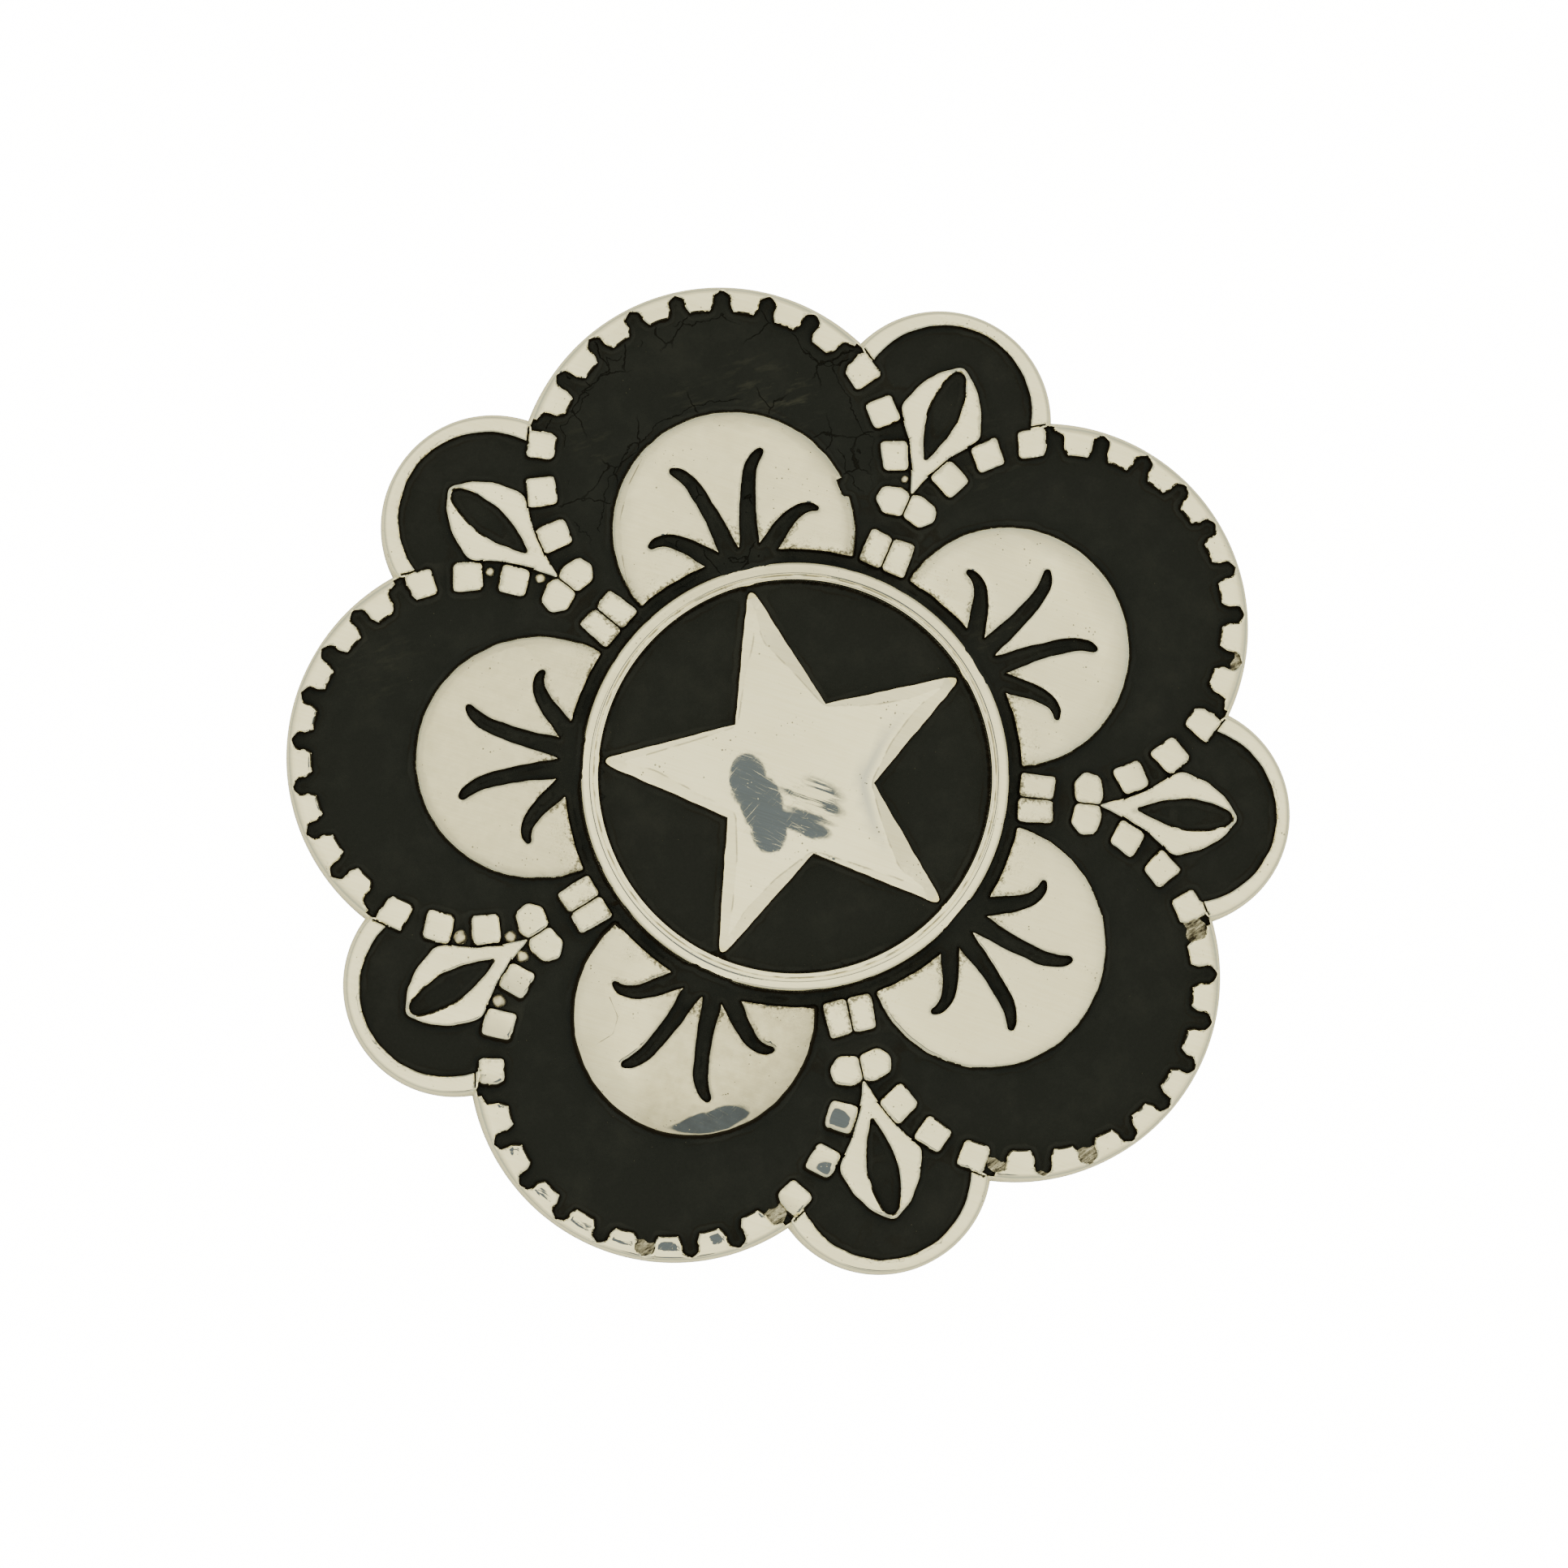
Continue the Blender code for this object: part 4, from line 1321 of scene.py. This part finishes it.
silverLook = {
    "bright": (0.87, 0.845, 0.72),
    "warm": (0.825, 0.793, 0.655),
    "warming": (0.3, 0.75),
    "brushing": 2.2,
    # colour of the painted shade inside the star's ridge
    "paintedRidgeShading": (0.50, 0.51, 0.53),
    # colour of the painted shade on the fans and the ring
    "fanAndRingShading": (0.36, 0.333, 0.268),
    # dark colour of grime, also laid on as painted shade along the star's ridge
    "grimeAndShade": (0.028, 0.022, 0.014),
    "grimeReach": 0.20,
    "grimeRaggedness": 0.7,
    # how much soiling brings on the veil and the speckle, and the limits that the speckle's grain is cut to
    "veilStart": (0.28, 0.62),
    "speckleStart": (0.0, 0.3),
    "speckleCut": (0.52, 0.66),
    "soiledGrain": 0.22,
    "lineEdge": (0.026, 0.012),
    "scratching": 0.35,
    "pitFineness": 5.0,
    "pitting": 0.20,
    # how dark the dirt and the painted shade are: grime against edges, dirt in pits, dark fine lines with
    # painted shade along the star's ridge, and a veil of dirt beside the ring
    "dirtAndShade": (0.85, 0.6, 0.75, 0.45),
    "metallic": (1.0, 0.1),  # where clean, and under the dirt and the painted shade
    "roughening": (0.45, 0.38, 0.4),  # by scratches, by the dull streaks, by dirt and painted shade
    "depths": (-0.02, 0.12, -6.0),  # of scratches, orange peel and pits
    "bump": 0.000003,
}


def buildPolishedSilver():
    material, shader, place = newMaterial("polished_silver")
    edge, soil, line = [place.attribute(name) for name in ("edgeDistance", "soiling", "lineDistance")]
    marks = place.effect(polishMarks, Amount=silverLook["scratching"])
    pits = place.effect(castPits, Scale=silverLook["pitFineness"], Amount=silverLook["pitting"])
    reach, ragged = silverLook["grimeReach"], silverLook["grimeRaggedness"]
    settled = place.effect(edgeGrimeAndShade, Edge=edge, Reach=reach, Ragged=ragged)
    veil = soil.ranged(*silverLook["veilStart"]) * place.pattern("veil") * place.pattern("stipple")
    soil = soil * place.pattern("soilPatches")
    grain = (place.pattern("grain") + soil * silverLook["soiledGrain"]).ranged(*silverLook["speckleCut"])
    speckle = settled * grain * soil.ranged(*silverLook["speckleStart"])
    # painted shade along the star's ridge, and dark lines along the ring's groove and on two fans
    ridgeShadeAndDarkLines = line.ranged(*silverLook["lineEdge"]) * place.pattern("lineBreaks")
    masks = speckle, pits, ridgeShadeAndDarkLines, veil
    dirtAndShade = largest(*[mask * share for mask, share in zip(masks, silverLook["dirtAndShade"])])
    tone = place.pattern("tone") + (place.pattern("brushed") - 0.5) * silverLook["brushing"]
    metal = blended(tone.ranged(*silverLook["warming"]), silverLook["bright"], silverLook["warm"])
    # painted shade inside the star's ridge
    metal = blended(place.attribute("paintedRidgeShade"), metal, silverLook["paintedRidgeShading"])
    # painted shade, fan by fan and on the upper part of the ring
    metal = blended(place.attribute("fanAndRingShade") * place.pattern("mottle"), metal, silverLook["fanAndRingShading"])
    blended(dirtAndShade, metal, silverLook["grimeAndShade"]).into(shader["Base Color"])
    dirtAndShade.ranged(0.0, 1.0, *silverLook["metallic"]).into(shader["Metallic"])
    byMarks, byStreaks, byDirt = silverLook["roughening"]
    worn = marks * byMarks + place.effect(rubbedStreaks) * byStreaks
    (place.pattern("haze") + worn + dirtAndShade * byDirt).into(shader["Roughness"])
    ofMarks, ofPeel, ofPits = silverLook["depths"]
    relief = marks * ofMarks + place.pattern("orangePeel") * ofPeel + pits * ofPits
    relief.bump(silverLook["bump"]).into(shader["Normal"])
    return material


# as it came out of the mould, streaky and dull
bareLook = {
    "silver": (0.52, 0.50, 0.44),
    "toning": (0.36, 0.66),
    "roughness": (0.3, 0.6, 0.60, 0.25),
    "metallic": 0.9,
    "bump": 0.00012,
}


def buildBareMetal():
    material, shader, place = newMaterial("bare_metal")
    grain = place.pattern("bareGrain")
    metal = blended(grain.ranged(*bareLook["toning"]), silverLook["grimeAndShade"], bareLook["silver"])
    metal.into(shader["Base Color"])
    grain.ranged(*bareLook["roughness"]).into(shader["Roughness"])
    shader["Metallic"].default_value = bareLook["metallic"]
    grain.bump(bareLook["bump"]).into(shader["Normal"])
    return material


# tumbled but never polished
backLook = {
    "silver": (0.52, 0.49, 0.43),
    "scratching": 0.7,
    "pitFineness": 4.0,
    "pitting": 0.34,
    "pitDirt": 0.6,
    "roughness": (0.35, 0.65, 0.36, 0.50),
    "depths": (-0.02, -2.0),  # of scratches and pits
    "bump": 0.00002,
}


def buildCastBack():
    material, shader, place = newMaterial("cast_back")
    marks = place.effect(polishMarks, Amount=backLook["scratching"])
    pits = place.effect(castPits, Scale=backLook["pitFineness"], Amount=backLook["pitting"])
    grain = place.pattern("backGrain")
    metal = blended(place.pattern("backTone"), silverLook["warm"], backLook["silver"])
    blended(pits * backLook["pitDirt"], metal, silverLook["grimeAndShade"]).into(shader["Base Color"])
    shader["Metallic"].default_value = 1.0
    grain.ranged(*backLook["roughness"]).into(shader["Roughness"])
    ofMarks, ofPits = backLook["depths"]
    (grain + marks * ofMarks + pits * ofPits).bump(backLook["bump"]).into(shader["Normal"])
    return material


# matt black worked into the ground: painted shade against the metal, then a paler band of painted light where
# the black climbs the metal, edged by a line of painted shade, and over all of it dust, scuffs and cracks;
# tones and how strongly each is laid on
blackLook = {
    "black": (0.0088, 0.0106, 0.0130),
    "dust": ((0.030, 0.032, 0.036), 0.25),
    # painted light: the paler band where the black climbs the metal
    "meniscusHighlight": ((0.030, 0.032, 0.036), 0.30),
    "scuffs": ((0.050, 0.052, 0.048), 0.55),
    # painted shade: the dark line at that band's border
    "border": ((0.0068, 0.0052, 0.0040), 0.5),
    # painted shade against the metal
    "shadeAtMetal": ((0.0068, 0.0052, 0.0040), 1.0),
    "cracks": ((0.002, 0.002, 0.002), 0.9),
    "specks": ((0.10, 0.10, 0.085), 0.7),
    "shadeAtMetalReach": 0.11,
    "shadeAtMetalRaggedness": 0.4,
    # distances from the metal over which the band of painted light ends, and the painted shade line at its
    # border starts and ends
    "rimEnd": (0.27, 0.20),
    "borderStart": (0.20, 0.26),
    "borderEnd": (0.33, 0.27),
    "speckFineness": 3.6,
    "specking": 0.11,
    # and over which the crazing starts and ends
    "crazingStart": (0.12, 0.20),
    "crazingEnd": (1.15, 0.75),
    "crazingFineness": 0.42,
    "crazingWidth": 0.010,
    "crackWidth": (0.017, 0.007),
    "cracked": (0.0, 0.25),
    "relief": (2.0, 4.0),  # of specks and cracks, as shares of the grain's
    "roughness": (0.3, 0.7, 0.54, 0.70),
    "sheen": 0.09,
    "bump": 0.000012,
}


def buildBlack():
    material, shader, place = newMaterial("black_fill")
    edge = place.attribute("edgeDistance")
    reach, ragged = blackLook["shadeAtMetalReach"], blackLook["shadeAtMetalRaggedness"]
    # painted shade against the metal
    shadeAtMetal = place.effect(edgeGrimeAndShade, Edge=edge, Reach=reach, Ragged=ragged)
    rim = edge + place.pattern("rimWaver")
    # painted light: a paler band where the black climbs the metal
    meniscusHighlight = rim.ranged(*blackLook["rimEnd"]) * place.pattern("rimPatches")
    # painted shade: a dark line at that band's border
    border = rim.ranged(*blackLook["borderStart"]) * rim.ranged(*blackLook["borderEnd"])
    border = border * place.pattern("borderPatches")
    specks = place.effect(castPits, Scale=blackLook["speckFineness"], Amount=blackLook["specking"])
    scuffs = place.pattern("scuffs") * place.attribute("scuffing")
    nearEdge = edge.ranged(*blackLook["crazingStart"]) * edge.ranged(*blackLook["crazingEnd"])
    along = (edge - place.pattern("crackPath")).maths("ABSOLUTE").ranged(*blackLook["crackWidth"])
    scale, width = blackLook["crazingFineness"], blackLook["crazingWidth"]
    crazed = place.effect(crazing, Scale=scale, Width=width) * nearEdge
    cracks = largest(along * place.pattern("crackBreaks"), crazed)
    cracks = cracks * place.attribute("cracking").ranged(*blackLook["cracked"])
    colour, dust = blackLook["black"], place.pattern("dust")
    masks = dust, meniscusHighlight, scuffs, border, shadeAtMetal, cracks, specks
    for name, mask in zip(("dust", "meniscusHighlight", "scuffs", "border", "shadeAtMetal", "cracks", "specks"), masks):
        tone, strength = blackLook[name]
        colour = blended(mask * strength, colour, tone)
    colour.into(shader["Base Color"])
    grain = place.pattern("mattGrain")
    grain.ranged(*blackLook["roughness"]).into(shader["Roughness"])
    shader["Specular IOR Level"].default_value = blackLook["sheen"]
    ofSpecks, ofCracks = blackLook["relief"]
    (grain + specks * ofSpecks - cracks * ofCracks).bump(blackLook["bump"]).into(shader["Normal"])
    return material


castBack = buildCastBack()
for material in (buildPolishedSilver(), buildBareMetal(), castBack):
    casting.data.materials.append(material)
for polygon, kind in zip(casting.data.polygons, casting.data.attributes["kind"].data):
    if kind.value == len(kinds):
        polygon.material_index = 1
    elif polygon.center.z / millimetre < outline["footHeight"] or polygon.normal.z < -0.2:
        polygon.material_index = 2
blackFill.data.materials.append(buildBlack())
for piece in (castingBeads, screwBoss, thread):
    piece.data.materials.append(castBack)

for piece in (casting, blackFill, castingBeads, screwBoss, thread):
    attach(piece, "root")
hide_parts("concho")

# stage
stage = {
    "floorSize": 3.0,
    "floorHeight": -0.00002,
    "floorColour": (0.82, 0.82, 0.81),
    "floorRoughness": 0.7,
    "glow": 15.0,  # of the floor and of what lies beyond it, as the camera sees them
    # radiance of the tent at heights from the horizon up
    "tent": [(0.0, (0.78, 0.84, 0.66)), (0.30, (0.95, 0.96, 0.70)), (0.48, (1.38, 1.31, 0.86)),
             (0.60, (1.50, 1.42, 0.93)), (0.78, (2.15, 2.02, 1.27)), (1.0, (2.25, 2.12, 1.34))],
    "unevenness": 0.16,
    "folds": (2.2, 1.0),
    # dark openings above: degrees to the right and up from the zenith, half widths, turn, softness
    "openings": [(-1.90, 2.90, 1.96, 2.85, 0.0, 0.05), (-0.40, 0.30, 2.30, 3.20, 14.0, 0.05),
                 (0.46, -2.63, 1.85, 2.47, 0.0, 0.05), (3.36, 1.18, 1.96, 0.30, -22.0, 0.3),
                 (6.30, 1.81, 2.09, 0.80, -27.0, 0.4), (6.62, 0.10, 1.90, 0.70, -22.0, 0.3),
                 (4.78, -0.98, 2.69, 0.34, -20.0, 0.3), (3.60, -1.80, 3.60, 1.00, -20.0, 0.12),
                 (-0.3, -50.7, 10.0, 4.2, -5.0, 0.06)],
    "openingColour": (0.190, 0.226, 0.250),
    "turn": 13.36,  # the concho lies turned by this much, so its top petal leans left
    "tilt": 4.54,
    "leanTowards": 212.1,
    "distance": 0.8,
    "frameWidth": 0.05932,
    "offset": (-0.186, -0.053),
    "aimHeight": 0.50,
}
print("lighting")
bpy.ops.mesh.primitive_plane_add(size=stage["floorSize"], location=(0, 0, stage["floorHeight"]))
floor = bpy.context.object
floor.name = "floor"
material, shader, place = newMaterial("pale_floor")
shader["Base Color"].default_value = (*stage["floorColour"], 1.0)
shader["Roughness"].default_value = stage["floorRoughness"]
shader["Emission Color"].default_value = (1.0, 1.0, 1.0, 1.0)
seen = place.through("ShaderNodeLightPath", (), "Is Camera Ray")
(seen * stage["glow"]).into(shader["Emission Strength"])
floor.data.materials.append(material)
floor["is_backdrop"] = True


def skyDirection(azimuth, fromZenith):
    # azimuth runs anticlockwise from the camera's right
    angle, rise = math.radians(azimuth - stage["turn"]), math.radians(fromZenith)
    return math.sin(rise) * math.cos(angle), math.sin(rise) * math.sin(angle), math.cos(rise)


world = bpy.data.worlds.new("studio")
bpy.context.scene.world = world
world.use_nodes = True
tree = world.node_tree
background = tree.nodes["Background"]
direction = Field(tree, addNode(tree, "ShaderNodeTexCoord").outputs["Generated"])
height = direction.through("ShaderNodeSeparateXYZ", [("Vector", direction)], "Z")
sky = stage["tent"][0][1]
for (low, _), (high, colour) in zip(stage["tent"], stage["tent"][1:]):
    sky = blended(height.ranged(low, high), sky, colour)
cloth = direction.noise(*stage["folds"]).ranged(0.3, 0.7, stage["unevenness"], 0.0)
sky = blended(cloth, sky, (0.0, 0.0, 0.0))
level = direction.mapped((0, 0, 0), (1, 1, 1), stage["turn"], "POINT")
for *middle, halfAcross, halfAlong, slant, soft in stage["openings"]:
    place = [math.sin(math.radians(value)) for value in middle] + [0.0]
    size = [math.sin(math.radians(value)) for value in (halfAcross, halfAlong)] + [1000.0]
    away = level.mapped(place, size, slant).length()
    sky = blended(away.ranged(1.0 + soft, 1.0 - soft), sky, stage["openingColour"])
seen = direction.through("ShaderNodeLightPath", (), "Is Camera Ray")
blended(seen, sky, [stage["glow"]] * 3).into(background.inputs["Color"])

camera = bpy.data.objects.new("camera", bpy.data.cameras.new("camera"))
bpy.context.collection.objects.link(camera)
right = Vector(skyDirection(0.0, 90.0))
up = Vector(skyDirection(90.0, 90.0))
aim = (right * stage["offset"][0] + up * stage["offset"][1] + Vector((0, 0, stage["aimHeight"]))) * 0.001
lean = Vector(skyDirection(stage["leanTowards"] + stage["turn"], stage["tilt"]))
upright = (up - lean * up.dot(lean)).normalized()
sideways = upright.cross(lean)
camera.matrix_world = Matrix((sideways, upright, lean)).transposed().to_4x4()
camera.location = aim + lean * stage["distance"]
camera.data.sensor_width = 36.0
camera.data.lens = 36.0 * stage["distance"] / stage["frameWidth"]
camera.data.clip_start, camera.data.clip_end = 0.01, 10.0
bpy.context.scene.camera = camera

low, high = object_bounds()
